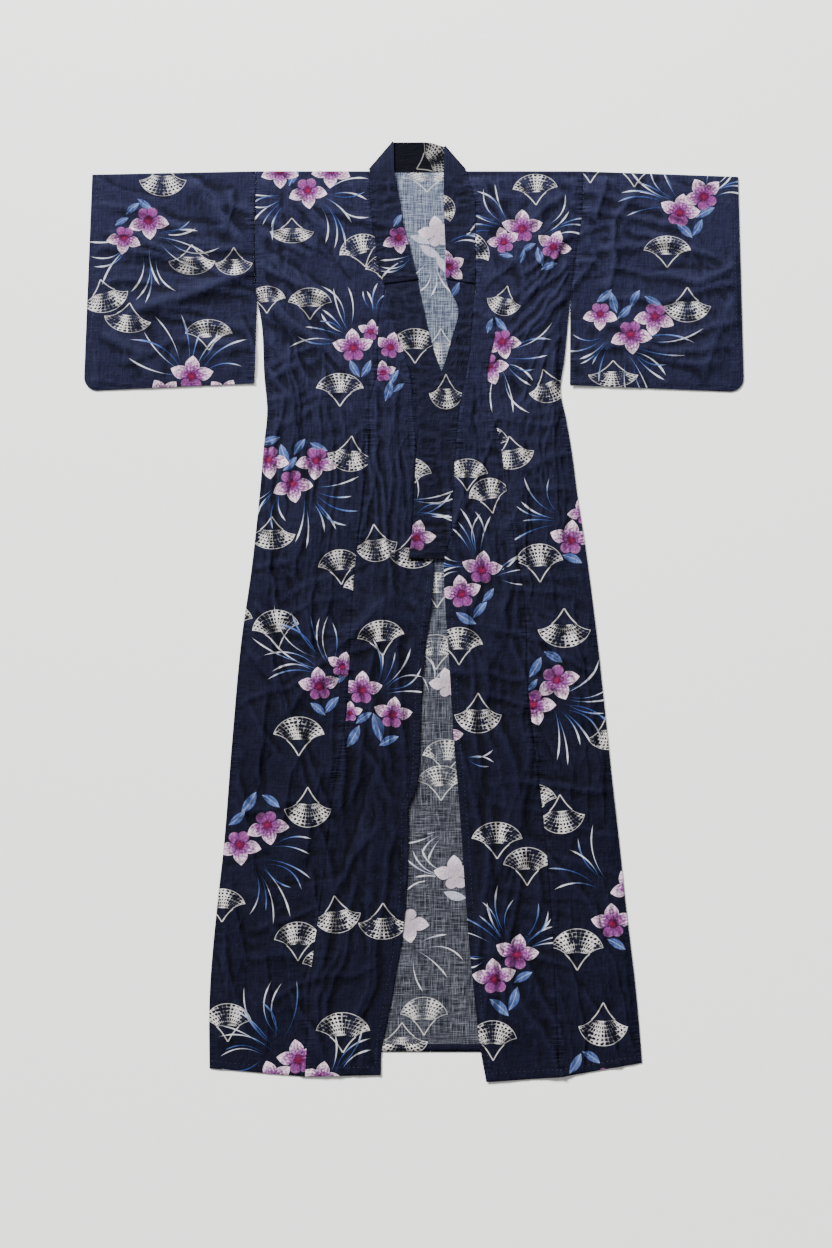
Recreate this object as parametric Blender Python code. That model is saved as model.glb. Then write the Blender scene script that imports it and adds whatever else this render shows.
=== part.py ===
"""Cotton yukata robe, laid flat on its back with its fronts closed, left over right.

Metres, +Z up. The robe lies on z = 0 with its collar towards +Y and the wearer's right at -X.
Places on the cloth are given as across (along X from the middle) and down (from the shoulder
line towards the hem). Every sewn piece is one closed wall of cloth.
"""

import math
from collections import namedtuple

import bmesh
import bpy
import numpy as np

CLOTH = 0.0010  # wall of one layer of cotton
BAND = 0.0016  # wall of the collar, where the cloth is doubled
GAP = 0.0003  # between pieces at a seam, and between layers that lie on each other
SHOULDER_Y = 0.8010  # the shoulder line, measured from the middle of the robe's length

SWORD_POINT = 0.215  # top of the front gores, down from the shoulder
COLLAR_END = 0.705  # squared ends of the collar
COVER_END = 0.205  # lower edge of the cover collar on both fronts
BACK_HEM = 1.602
NECK_SEAM = 0.0003  # the back neck seam lies this far above the shoulder line
SLEEVE_CORNER = 0.025  # radius of the lower wrist corner

ARM_ROWS = 8  # rows of cells beside the armhole
CHEST_ROWS = 19  # from the sword point to the collar's ends
SKIRT_ROWS = 34  # from the collar's ends to the hem
BACK_ROWS = 12  # below the armhole, where the back lies flat
BODY_COLUMNS, NECK_COLUMNS, GORE_COLUMNS, SLEEVE_COLUMNS = 8, 3, 5, 10

FOLD_ANGLES = (-math.pi / 6, math.pi / 6)  # rows of points round a folded edge
CROSSING_CLEAR = 0.0010  # between the two fronts where they cross
PLATEAU, RAMP = 0.025, 0.030  # how the upper front comes down beyond the lower one's edge
NECK_LEVEL, NECK_DROP = 0.005, 0.035  # how the turned collar comes down in front of the neck
EDGE_FADE = 0.035  # creases die out this far from a side edge and from the shoulder

Edge = namedtuple("Edge", "down across")
Rung = namedtuple("Rung", "seam_down seam_across free_down free_across")
Crease = namedtuple("Crease", "across_a down_a across_b down_b half_width height")
Half = namedtuple("Half", "side_edge arm_edge gore_seam front_edge rungs hems sleeve")
Hems = namedtuple("Hems", "side gore_seam front_edge")
Sleeve = namedtuple("Sleeve", "arm_top wrist_top wrist_across wrist_low arm_low arm_low_across")

# Side edges: the armhole seam first, then the side seam drawn in at the waist.
RIGHT_SIDE = [Edge(*row) for row in (
    (0.000, -0.288), (0.233, -0.285), (0.271, -0.278), (0.375, -0.272), (0.435, -0.267),
    (0.499, -0.273), (0.590, -0.281), (0.727, -0.296), (0.845, -0.313), (1.038, -0.331),
    (1.247, -0.348), (1.317, -0.356), (1.508, -0.372), (1.640, -0.372),
)]
LEFT_SIDE = [Edge(*row) for row in (
    (0.000, 0.308), (0.058, 0.308), (0.162, 0.294), (0.231, 0.285), (0.342, 0.274),
    (0.399, 0.267), (0.448, 0.277), (0.512, 0.288), (0.597, 0.299), (0.666, 0.310),
    (0.809, 0.329), (0.962, 0.346), (1.115, 0.362), (1.248, 0.377), (1.317, 0.384),
    (1.508, 0.406), (1.640, 0.417),
)]

# Seams between each front and its gore, from the sword point down.
RIGHT_GORE = [Edge(*row) for row in (
    (0.215, -0.0515), (0.260, -0.063), (0.315, -0.065), (0.370, -0.067), (0.415, -0.080),
    (0.492, -0.080), (0.559, -0.087), (0.603, -0.092), (0.721, -0.107), (0.798, -0.113),
    (0.992, -0.123), (1.140, -0.147), (1.271, -0.162), (1.355, -0.173), (1.415, -0.182),
    (1.650, -0.198),
)]
LEFT_GORE = [Edge(*row) for row in (
    (0.215, 0.111), (0.240, 0.133), (0.382, 0.135), (0.448, 0.144), (0.473, 0.153),
    (0.543, 0.164), (0.619, 0.175), (0.794, 0.203), (0.936, 0.208), (1.116, 0.229),
    (1.207, 0.239), (1.262, 0.244), (1.650, 0.266),
)]

# Free front edges, from the collar's ends to the hem.
RIGHT_FRONT = [Edge(*row) for row in (
    (0.705, 0.037), (0.725, 0.037), (0.804, 0.029), (0.858, 0.023), (0.939, 0.015),
    (1.009, 0.012), (1.069, 0.010), (1.125, 0.004), (1.151, -0.008), (1.202, -0.010),
    (1.306, -0.013), (1.409, -0.023), (1.468, -0.034), (1.524, -0.044), (1.604, -0.059),
    (1.644, -0.060),
)]
LEFT_FRONT = [Edge(*row) for row in (
    (0.705, 0.055), (0.741, 0.055), (0.783, 0.057), (0.903, 0.065), (1.032, 0.073),
    (1.180, 0.085), (1.331, 0.095), (1.440, 0.104), (1.524, 0.113), (1.602, 0.122),
    (1.657, 0.132),
)]
CENTRE_BACK = [Edge(*row) for row in ((0.000, 0.006), (0.430, 0.013), (1.602, 0.030))]

# The collar on each front, as rungs from its seam edge to its free edge.
RIGHT_RUNGS = [Rung(*row) for row in (
    (0.000, -0.081, -0.001, -0.036), (0.062, -0.079, 0.062, -0.025),
    (0.109, -0.072, 0.102, -0.018), (0.178, -0.063, 0.169, 0.000),
    (0.202, -0.0545, 0.202, 0.007), (0.268, -0.040, 0.279, 0.024),
    (0.315, -0.023, 0.328, 0.037), (0.359, -0.009, 0.366, 0.050),
    (0.433, 0.000, 0.433, 0.064), (0.504, 0.006, 0.504, 0.073),
    (0.606, 0.019, 0.606, 0.088), (0.705, 0.037, 0.705, 0.106),
)]
LEFT_RUNGS = [Rung(*row) for row in (
    (0.000, 0.096, -0.001, 0.055), (0.051, 0.110, 0.051, 0.055),
    (0.133, 0.112, 0.133, 0.058), (0.206, 0.111, 0.206, 0.062),
    (0.251, 0.108, 0.248, 0.081), (0.306, 0.104, 0.302, 0.070),
    (0.370, 0.095, 0.368, 0.049), (0.424, 0.084, 0.415, 0.022),
    (0.470, 0.079, 0.473, 0.010), (0.519, 0.075, 0.519, 0.005),
    (0.606, 0.070, 0.606, 0.001), (0.672, 0.065, 0.672, -0.004),
    (0.705, 0.055, 0.705, -0.009),
)]

# Where the collar turns over on itself at each side of the neck, and its edge behind the neck.
RIGHT_TURN = Rung(-0.003, -0.080, -0.053, -0.037)
LEFT_TURN = Rung(-0.003, 0.093, -0.045, 0.056)
NECK_EDGE = (Edge(-0.053, -0.005), Edge(-0.052, 0.030))

HALVES = {
    "right": Half(RIGHT_SIDE, RIGHT_SIDE[:2], RIGHT_GORE, RIGHT_FRONT, RIGHT_RUNGS,
                  Hems(side=1.632, gore_seam=1.647, front_edge=1.644),
                  Sleeve(0.000, 0.006, (-0.585, -0.601), 0.398, 0.385, -0.290)),
    "left": Half(LEFT_SIDE, LEFT_SIDE[:4], LEFT_GORE, LEFT_FRONT, LEFT_RUNGS,
                 Hems(side=1.622, gore_seam=1.648, front_edge=1.657),
                 Sleeve(0.002, 0.010, (0.590, 0.601), 0.400, 0.388, 0.284)),
}

# The largest creases of the fronts and sleeves: two ends, half width and height.
CREASES = [Crease(*row) for row in (
    (-0.295, 0.182, -0.517, 0.266, 0.018, 0.0045),
    (-0.407, 0.015, -0.307, 0.133, 0.016, 0.0025),
    (-0.553, 0.288, -0.462, 0.360, 0.022, 0.0025),
    (-0.380, 0.300, -0.330, 0.370, 0.020, 0.0020),
    (-0.560, 0.060, -0.500, 0.180, 0.022, 0.0015),
    (0.346, 0.010, 0.330, 0.087, 0.016, 0.0025),
    (0.401, 0.033, 0.366, 0.120, 0.016, 0.0028),
    (0.366, 0.120, 0.354, 0.215, 0.016, 0.0028),
    (0.589, 0.169, 0.512, 0.206, 0.020, 0.0022),
    (0.589, 0.233, 0.530, 0.370, 0.022, 0.0025),
    (0.440, 0.250, 0.400, 0.360, 0.020, 0.0018),
    (-0.270, 0.240, -0.152, 0.324, 0.018, 0.0035),
    (-0.265, 0.300, -0.190, 0.400, 0.018, 0.0028),
    (-0.225, 0.397, -0.207, 0.707, 0.018, 0.0040),
    (-0.170, 0.380, -0.162, 0.634, 0.017, 0.0032),
    (-0.116, 0.415, -0.125, 0.707, 0.017, 0.0035),
    (-0.040, 0.450, -0.035, 0.640, 0.017, 0.0020),
    (-0.150, 0.040, -0.120, 0.180, 0.020, 0.0020),
    (-0.052, 0.779, -0.207, 0.961, 0.020, 0.0042),
    (-0.052, 0.779, -0.025, 0.980, 0.018, 0.0030),
    (-0.290, 0.800, -0.270, 1.050, 0.022, 0.0030),
    (-0.153, 1.070, -0.225, 1.290, 0.022, 0.0035),
    (-0.298, 1.290, -0.207, 1.507, 0.022, 0.0028),
    (-0.080, 1.200, -0.110, 1.450, 0.022, 0.0028),
    (0.102, 0.005, 0.152, 0.097, 0.016, 0.0028),
    (0.230, 0.050, 0.180, 0.170, 0.020, 0.0022),
    (0.280, 0.240, 0.157, 0.379, 0.018, 0.0035),
    (0.265, 0.330, 0.190, 0.470, 0.018, 0.0028),
    (0.194, 0.415, 0.184, 0.707, 0.018, 0.0035),
    (0.248, 0.430, 0.250, 0.670, 0.018, 0.0035),
    (0.115, 0.500, 0.125, 0.700, 0.016, 0.0015),
    (0.230, 0.816, 0.321, 0.998, 0.022, 0.0038),
    (0.157, 1.034, 0.193, 1.253, 0.022, 0.0030),
    (0.266, 1.253, 0.357, 1.471, 0.022, 0.0032),
    (0.160, 0.780, 0.110, 0.980, 0.020, 0.0028),
    (0.130, 1.330, 0.190, 1.560, 0.022, 0.0025),
)]


def place(across, down, height):
    """The point of the robe at this place on the cloth."""
    return (across, SHOULDER_Y - down, height)


def along(edge, down):
    """How far across an edge runs at a height down the robe."""
    return float(np.interp(down, [e.down for e in edge], [e.across for e in edge]))


def rung_at(rungs, seam_down):
    """The collar's rung whose seam end is this far down."""
    downs = [r.seam_down for r in rungs]
    return Rung(seam_down, *(float(np.interp(seam_down, downs, [r[column] for r in rungs]))
                             for column in (1, 2, 3)))


def smooth(value):
    """An S-curve from 0 to 1."""
    value = min(max(value, 0.0), 1.0)
    return value * value * (3 - 2 * value)


def crease_height(across, down):
    """How far the largest creases lift the upper layers here."""
    height = 0.0
    for crease in CREASES:
        run_across, run_down = crease.across_b - crease.across_a, crease.down_b - crease.down_a
        length = math.hypot(run_across, run_down)
        off_across, off_down = across - crease.across_a, down - crease.down_a
        share = (off_across * run_across + off_down * run_down) / length ** 2
        aside = abs(off_across * run_down - off_down * run_across) / length
        ends = smooth(share * 4 + 0.5) * smooth((1 - share) * 4 + 0.5)
        height += crease.height * ends * math.exp(-(aside / crease.half_width) ** 2)
    return height


def front_height(half, across, down):
    """Underside of the front layer: on the back, and over the other front where they cross."""
    height = CLOTH + GAP
    if half == "left":
        lower_edge = rung_at(RIGHT_RUNGS, min(down, COLLAR_END)).free_across
        beyond = math.hypot(max(across - lower_edge, 0), max(down - COLLAR_END, 0))
        height += (BAND + CROSSING_CLEAR) * (1 - smooth((beyond - PLATEAU) / RAMP))
    from_side = abs(along(HALVES[half].side_edge, down) - across)
    fade = smooth(from_side / EDGE_FADE) * smooth(down / EDGE_FADE)
    return height + fade * crease_height(across, down)


def add_wall(name, rows, colour):
    """Make a closed cloth wall from rows of (inner, outer) points; None leaves a place empty."""
    mesh = bmesh.new()
    made = [[pair and tuple(mesh.verts.new(point) for point in pair) for pair in row]
            for row in rows]
    rims = {}
    for upper, lower in zip(made, made[1:]):
        for left in range(len(upper) - 1):
            corners = (upper[left], upper[left + 1], lower[left + 1], lower[left])
            if None in corners:
                continue
            mesh.faces.new([corner[0] for corner in corners])
            mesh.faces.new([corner[1] for corner in reversed(corners)])
            for start, end in zip(corners, corners[1:] + corners[:1]):
                if (end, start) in rims:
                    del rims[end, start]
                else:
                    rims[start, end] = True
    for start, end in rims:
        mesh.faces.new((start[1], end[1], end[0], start[0]))
    bmesh.ops.delete(mesh, geom=[v for v in mesh.verts if not v.link_faces], context="VERTS")
    bmesh.ops.triangulate(mesh, faces=mesh.faces[:])
    bmesh.ops.recalc_face_normals(mesh, faces=mesh.faces[:])
    data = bpy.data.meshes.new(name)
    mesh.to_mesh(data)
    mesh.free()
    data.materials.append(cotton(name, colour))
    data.shade_smooth()
    data.set_sharp_from_angle(angle=math.radians(40))
    bpy.context.scene.collection.objects.link(bpy.data.objects.new(name, data))


def cotton(name, colour):
    """Dyed cotton: matt, with no metal in it."""
    material = bpy.data.materials.new(name)
    material.use_nodes = True
    shader = material.node_tree.nodes["Principled BSDF"]
    shader.inputs["Base Color"].default_value = (*colour, 1.0)
    shader.inputs["Roughness"].default_value = 0.85
    shader.inputs["Metallic"].default_value = 0.0
    return material


def between(a, b, share):
    return tuple(p + (q - p) * share for p, q in zip(a, b))


def front_downs(hem):
    """Heights down the robe of a front's rows, for a seam that ends at this hem."""
    arm = [SWORD_POINT * row / ARM_ROWS for row in range(ARM_ROWS)]
    chest = [SWORD_POINT + (COLLAR_END - SWORD_POINT) * row / CHEST_ROWS
             for row in range(CHEST_ROWS)]
    skirt = [COLLAR_END + (hem - COLLAR_END) * row / SKIRT_ROWS for row in range(SKIRT_ROWS + 1)]
    return arm + chest + skirt


def back_downs():
    arm = [SWORD_POINT * row / ARM_ROWS for row in range(ARM_ROWS)]
    return arm + [SWORD_POINT + (BACK_HEM - SWORD_POINT) * row / BACK_ROWS
                  for row in range(BACK_ROWS + 1)]


def outward(half):
    return -1 if half == "right" else 1


def inner_edge(half, down):
    """The front's inner edge: the collar seam, and below the sword point the gore seam."""
    if down < SWORD_POINT:
        return rung_at(HALVES[half].rungs, down).seam_across
    return along(HALVES[half].gore_seam, down)


def fold_rows(across_of, columns, down_of, missing):
    """Rows round a fold at the top of a piece, from the back layer up to the front one."""
    rows = []
    middle, inside = CLOTH + GAP / 2, GAP / 2
    for angle in FOLD_ANGLES:
        reach, lift = math.cos(angle), math.sin(angle)
        rows.append([
            (place(across_of(column), down_of(column) - inside * reach, middle + inside * lift),
             place(across_of(column), down_of(column) - (inside + CLOTH) * reach,
                   middle + (inside + CLOTH) * lift))
            for column in range(columns + 1)] + [None] * missing)
    return rows


def add_body(half, colour):
    """One body length: back and front in one, folded over the shoulder, slit for the neck."""
    panel, side = HALVES[half], outward(half)
    seam = side * GAP / 2
    neck = inner_edge(half, 0.0)
    split = (neck - panel.side_edge[0].across) / (CENTRE_BACK[0].across
                                                  - panel.side_edge[0].across)

    def column_of(down, column):
        """Across for the back's columns, with a column at the neck point."""
        outer, inner = along(panel.side_edge, down) - seam, along(CENTRE_BACK, down) + seam
        turn = outer + (inner - outer) * split
        if down == 0:
            turn = neck + seam
        if column <= BODY_COLUMNS:
            return outer + (turn - outer) * column / BODY_COLUMNS
        return turn + (inner - turn) * (column - BODY_COLUMNS) / NECK_COLUMNS

    rows = [[(place(column_of(down, column), down, CLOTH), place(column_of(down, column), down, 0))
             for column in range(BODY_COLUMNS + NECK_COLUMNS + 1)]
            for down in reversed(back_downs())]
    rows += fold_rows(lambda column: column_of(0, column), BODY_COLUMNS,
                      lambda column: 0.0, NECK_COLUMNS)
    outer_downs, inner_downs = front_downs(panel.hems.side), front_downs(panel.hems.gore_seam)
    for outer_down, inner_down in zip(outer_downs, inner_downs):
        outer = (along(panel.side_edge, outer_down) - seam, outer_down)
        inner = (inner_edge(half, inner_down) + seam, inner_down)
        row = []
        for column in range(BODY_COLUMNS + 1):
            across, down = between(outer, inner, column / BODY_COLUMNS)
            low = front_height(half, across, down)
            row.append((place(across, down, low), place(across, down, low + CLOTH)))
        rows.append(row + [None] * NECK_COLUMNS)
    add_wall("body_" + half, rows, colour)


def add_gore(half, colour):
    """One front overlap gore, from its sword point to the hem."""
    panel, side = HALVES[half], outward(half)
    seam = side * GAP / 2
    first = ARM_ROWS
    outers = [(along(panel.gore_seam, down) - seam, down)
              for down in front_downs(panel.hems.gore_seam)[first:]]
    inners = []
    for down in front_downs(panel.hems.front_edge)[first:]:
        if down < COLLAR_END:
            inners.append((rung_at(panel.rungs, down).seam_across + seam, down))
        else:
            inners.append((along(panel.front_edge, down) + (seam if down == COLLAR_END else 0),
                           down))
    tip = 0.15
    outers[0], inners[0] = (between(edge[0], edge[1], tip) for edge in (outers, inners))
    rows = []
    for outer, inner in zip(outers, inners):
        row = []
        for column in range(GORE_COLUMNS + 1):
            across, down = between(outer, inner, column / GORE_COLUMNS)
            low = front_height(half, across, down)
            row.append((place(across, down, low), place(across, down, low + CLOTH)))
        rows.append(row)
    add_wall("okumi_" + half, rows, colour)


def band_rows(half, wall, clear_below, end):
    """A front's stretch of collar, from the neck to its end, as rows of three points."""
    panel, side = HALVES[half], outward(half)
    downs = [down for down in front_downs(panel.hems.gore_seam) if down < end] + [end]
    rows = []
    for seam_down in downs:
        rung = rung_at(panel.rungs, seam_down)
        start = (rung.seam_across - side * GAP / 2, rung.seam_down)
        finish = (rung.free_across, rung.free_down)
        row = []
        for share in (0.0, 0.5, 1.0):
            across, down = between(start, finish, share)
            low = front_height(half, across, down) + neck_rise(down) + clear_below
            row.append((place(across, down, low), place(across, down, low + wall)))
        rows.append(row)
    return rows


def neck_rise(down):
    """The collar lies higher where it has turned over its own part behind the neck."""
    return (BAND + GAP) * (1 - smooth((down - NECK_LEVEL) / NECK_DROP))


def turn_rows(half, inside, wall):
    """The rows round the slanted fold where the collar turns over beside the neck."""
    turn = RIGHT_TURN if half == "right" else LEFT_TURN
    middle = CLOTH + GAP + BAND + GAP / 2
    run_across, run_down = turn.free_across - turn.seam_across, turn.free_down - turn.seam_down
    length = math.hypot(run_across, run_down)
    away_across, away_down = outward(half) * abs(run_down) / length, -abs(run_across) / length
    rows = []
    for angle in (-math.pi / 2, *FOLD_ANGLES, math.pi / 2):
        reach, lift = math.cos(angle), math.sin(angle)
        row = []
        for share in (0.0, 0.5, 1.0):
            across = turn.seam_across + run_across * share
            down = turn.seam_down + run_down * share
            row.append(tuple(
                place(across + away_across * radius * reach, down + away_down * radius * reach,
                      middle + radius * lift)
                for radius in (inside, inside + wall)))
        rows.append(row)
    return rows


def neck_rows(top, wall):
    """The collar behind the neck, lying beyond the shoulder line with its inside up."""
    rows = []
    for step in (1, 2, 3, 4):
        share = step / 5
        seam_across = RIGHT_TURN.seam_across + (LEFT_TURN.seam_across
                                                - RIGHT_TURN.seam_across) * share
        edges = (Edge(RIGHT_TURN.free_down, RIGHT_TURN.free_across), *NECK_EDGE,
                 Edge(LEFT_TURN.free_down, LEFT_TURN.free_across))
        free_across = RIGHT_TURN.free_across + (LEFT_TURN.free_across
                                                - RIGHT_TURN.free_across) * share
        free_down = float(np.interp(free_across, [e.across for e in edges],
                                    [e.down for e in edges]))
        row = []
        for part in (0.0, 0.5, 1.0):
            across, down = between((seam_across, -NECK_SEAM), (free_across, free_down), part)
            row.append((place(across, down, top), place(across, down, top - wall)))
        rows.append(row)
    return rows


def add_collar(name, wall, inside, clear_below, end, colour):
    """A band along both fronts and round the neck, folded over itself beside the neck.

    inside is its clear radius in those folds, and clear_below is what lies under it on a front.
    """
    top = CLOTH + GAP + BAND + GAP / 2 - inside
    right = band_rows("right", wall, clear_below, end)
    left = band_rows("left", wall, clear_below, end)
    rows = right[::-1] + turn_rows("right", inside, wall)[::-1] + neck_rows(top, wall)
    rows += turn_rows("left", inside, wall) + left
    add_wall(name, rows, colour)


def add_sleeve(half, colour):
    """One sleeve, folded at its top, with a rounded lower wrist corner."""
    panel, side = HALVES[half], outward(half)
    cut = panel.sleeve
    corner_angles = [math.radians(angle) for angle in (0, 30, 60, 90)]
    seam = side * GAP / 2
    shared = [SWORD_POINT * row / ARM_ROWS for row in range(ARM_ROWS + 1)]

    def rows_of(free_rows):
        """Ends of each row: the armhole side and the wrist side, each (across, down)."""
        ends = []
        arm_corner, wrist_corner = cut.arm_low - SLEEVE_CORNER, cut.wrist_low - SLEEVE_CORNER
        step = (arm_corner - SWORD_POINT) / free_rows
        arm_downs = shared + [SWORD_POINT + step * row for row in range(1, free_rows)]
        for arm_down in arm_downs:
            share = arm_down / arm_corner
            wrist_down = cut.wrist_top + (wrist_corner - cut.wrist_top) * share
            ends.append((arm_down, wrist_down, 0.0))
        for angle in corner_angles:
            drop = SLEEVE_CORNER * math.sin(angle)
            ends.append((arm_corner + drop, wrist_corner + drop,
                         SLEEVE_CORNER * (1 - math.cos(angle))))
        return ends

    def row_points(arm_down, wrist_down, tuck):
        below = min(max((arm_down - SWORD_POINT) / (cut.arm_low - SWORD_POINT), 0), 1)
        arm = along(panel.arm_edge, arm_down)
        arm += (cut.arm_low_across - along(panel.arm_edge, SWORD_POINT)) * below
        top, low = cut.wrist_across
        wrist = top + (low - top) * wrist_down / cut.wrist_low - side * tuck
        return [between((arm + seam, arm_down), (wrist, wrist_down), column / SLEEVE_COLUMNS)
                for column in range(SLEEVE_COLUMNS + 1)]

    rows = [[(place(across, down, CLOTH), place(across, down, 0))
             for across, down in row_points(*ends)] for ends in reversed(rows_of(3))]
    shoulder = row_points(*rows_of(3)[0])
    rows += fold_rows(lambda column: shoulder[column][0], SLEEVE_COLUMNS,
                      lambda column: shoulder[column][1], 0)
    for ends in rows_of(7):
        row = []
        for across, down in row_points(*ends):
            from_wrist = abs(cut.wrist_across[1]) - abs(across)
            from_arm = abs(across) - abs(panel.arm_edge[0].across)
            from_low = cut.wrist_low - down
            fade = smooth(max(min(from_wrist, from_low, down, from_arm), 0) / EDGE_FADE)
            low = CLOTH + GAP + fade * crease_height(across, down)
            row.append((place(across, down, low), place(across, down, low + CLOTH)))
        rows.append(row)
    add_wall("sleeve_" + half, rows, colour)


def build():
    for old in list(bpy.data.objects):
        bpy.data.objects.remove(old, do_unlink=True)
    navy, deep_navy = (0.020, 0.022, 0.062), (0.016, 0.018, 0.052)
    for half in HALVES:
        add_body(half, navy)
        add_gore(half, navy)
        add_sleeve(half, navy)
    add_collar("collar", BAND, GAP / 2, 0.0, COLLAR_END, deep_navy)
    add_collar("collar_cover", CLOTH, GAP / 2 + BAND + GAP, BAND + GAP, COVER_END, deep_navy)


build()
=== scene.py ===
"""Cotton yukata robe laid flat: printed slub cotton, creased by folding, washing and wear."""

import math
from collections import namedtuple

import bmesh
import bpy
import mathutils
import numpy as np
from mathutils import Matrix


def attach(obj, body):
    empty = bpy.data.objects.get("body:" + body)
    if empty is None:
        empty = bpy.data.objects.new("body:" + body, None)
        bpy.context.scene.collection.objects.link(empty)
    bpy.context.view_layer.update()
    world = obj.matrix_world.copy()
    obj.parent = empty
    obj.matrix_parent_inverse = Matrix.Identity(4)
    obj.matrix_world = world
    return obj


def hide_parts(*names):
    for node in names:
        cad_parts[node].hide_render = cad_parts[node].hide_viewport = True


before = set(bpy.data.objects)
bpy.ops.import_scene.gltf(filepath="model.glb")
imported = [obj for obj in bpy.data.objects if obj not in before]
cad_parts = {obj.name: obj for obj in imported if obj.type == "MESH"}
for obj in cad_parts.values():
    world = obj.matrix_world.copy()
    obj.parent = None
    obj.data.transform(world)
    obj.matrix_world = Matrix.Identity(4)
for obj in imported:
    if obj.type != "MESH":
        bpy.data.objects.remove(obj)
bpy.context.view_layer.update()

# Sizes in metres, the same as the solids'
CLOTH = 0.0010  # wall of one layer of cotton
BAND = 0.0016  # wall of the collar, where the cloth is doubled
GAP = 0.0003  # between pieces at a seam, and between layers that lie on each other
SHOULDER_Y = 0.8010  # the shoulder line, measured from the middle of the robe's length
SWORD_POINT = 0.215  # top of the front gores, down from the shoulder
ARMHOLE = 0.233  # lower end of the seam between body and sleeve
COLLAR_END = 0.705  # squared ends of the collar
COVER_END = 0.205  # lower edge of the cover collar on both fronts
BACK_HEM = 1.602  # lower edge of the back, under the fronts
SLEEVE_CORNER = 0.025  # radius of the lower wrist corner
CROSSING_CLEAR = 0.0010  # between the two fronts where they cross
PLATEAU, RAMP = 0.025, 0.030  # how the upper front comes down beyond the lower one's edge
NECK_LEVEL, NECK_DROP = 0.005, 0.035  # how the turned collar comes down in front of the neck

# How creases, seams, hems and the collar are shaped: lengths in metres, and shares
EDGE_FADE = 0.020  # creases die out this far from a side edge and from the shoulder
EDGE_SHARE = 0.15  # how much of them is left at the edge itself
COVERED_SHARE = 0.03  # and on the right front, under the left one
LOWEST_FRONT, LOWEST_BAND = -0.0008, -0.0003  # the deepest troughs under the plain cloth
HIGHEST = 0.0125  # the most that creases which meet can add up to
SLEEVE_CRINKLE = 0.6  # how strongly the sleeves are crinkled, compared with the fronts
SLEEVE_SEAM = 0.240  # the sleeve's edge dips into the armhole seam as far down as here
DIP, DIP_REACH = 0.0009, 0.0024  # how deep a sewn edge dips into its seam, and how far off
# Puckers beside a seam: height, length of one along the seam, and reach away from it
PUCKER, PUCKER_RUN, PUCKER_REACH = 0.0014, 0.0125, 0.016
TURNED_UP = 0.014  # depth of the band turned up along the back hem
LEAST_LIFT = 0.0002  # keeps the lowest cloth off the floor's own plane
# About how wide and how long the pieces lie, which sets how many faces each one gets
WIDTHS = {"body": 0.26, "neck": 0.09, "gore": 0.125, "sleeve": 0.30, "band": 0.06}
LENGTHS = {"body": 1.64, "gore": 1.44, "sleeve": 0.37}
BAND_STEP = 0.0033  # from rung to rung of the collar
TURN_ANGLES = range(90, -91, -20)  # the rungs of the collar's folds beside the neck
NECK_RUNGS = 24  # and of its part behind the neck
COVER_UNDER = 0.25  # share of the cover collar's width that goes round the collar's edge
COVER_SLANT, SLANT_RUN = 0.010, 0.020  # how much shorter it is at its free edge, over what length
RIM = 0.0006  # how far a folded edge bulges

STITCH_STEP = 0.0085  # from stitch to stitch
STITCH_SIZE = (0.0026, 0.0006, 0.0005)  # along the line, across it and up
STITCH_SHIFT = 0.0008  # how unevenly the stitches are spaced, to either side
STITCH_AIM = 0.0005  # a stitch lies as the cloth does this far to either side of its middle
# Rows up from a hem and columns in from an edge where its stitches run, about 10 mm away
HEM_LINE, EDGE_LINE = -6, -6
THREAD = 0.0005  # thickness of one layer as it shows
ACROSS, DOWN = 0.0028, 0.0046  # spacing of the mesh where the cloth shows
COARSE = 0.016  # and where it is hidden, or lies flat underneath

PIXEL = 0.001821  # one pixel of the photo on the cloth
MIDDLE_X, SHOULDER_ROW = 413.75, 172.0  # the middle line and the shoulder line in the photo
PHOTO_X, PHOTO_Y = 832, 1248  # the photo's size
FRONT, BACK, HEM = 1, 0, 2  # the layers of a sheet that each have a print of their own

Edge = namedtuple("Edge", "down across")
Rung = namedtuple("Rung", "seam_down seam_across free_down free_across")
Crease = namedtuple("Crease", "across_a down_a across_b down_b half_width height")

RIGHT_SIDE = [Edge(*row) for row in (
    (0.000, -0.288), (0.233, -0.285), (0.271, -0.278), (0.375, -0.272), (0.435, -0.267),
    (0.499, -0.273), (0.590, -0.281), (0.727, -0.296), (0.845, -0.313), (1.038, -0.331),
    (1.247, -0.348), (1.317, -0.356), (1.508, -0.372), (1.640, -0.372),
)]
LEFT_SIDE = [Edge(*row) for row in (
    (0.000, 0.308), (0.058, 0.308), (0.162, 0.294), (0.231, 0.285), (0.342, 0.274),
    (0.399, 0.267), (0.448, 0.277), (0.512, 0.288), (0.597, 0.299), (0.666, 0.310),
    (0.809, 0.329), (0.962, 0.346), (1.115, 0.362), (1.248, 0.377), (1.317, 0.384),
    (1.508, 0.406), (1.640, 0.417),
)]
RIGHT_GORE = [Edge(*row) for row in (
    (0.215, -0.0515), (0.260, -0.063), (0.315, -0.065), (0.370, -0.067), (0.415, -0.080),
    (0.492, -0.080), (0.559, -0.087), (0.603, -0.092), (0.721, -0.107), (0.798, -0.113),
    (0.992, -0.123), (1.140, -0.147), (1.271, -0.162), (1.355, -0.173), (1.415, -0.182),
    (1.650, -0.198),
)]
LEFT_GORE = [Edge(*row) for row in (
    (0.215, 0.111), (0.240, 0.133), (0.382, 0.135), (0.448, 0.144), (0.473, 0.153),
    (0.543, 0.164), (0.619, 0.175), (0.794, 0.203), (0.936, 0.208), (1.116, 0.229),
    (1.207, 0.239), (1.262, 0.244), (1.650, 0.266),
)]
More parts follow.
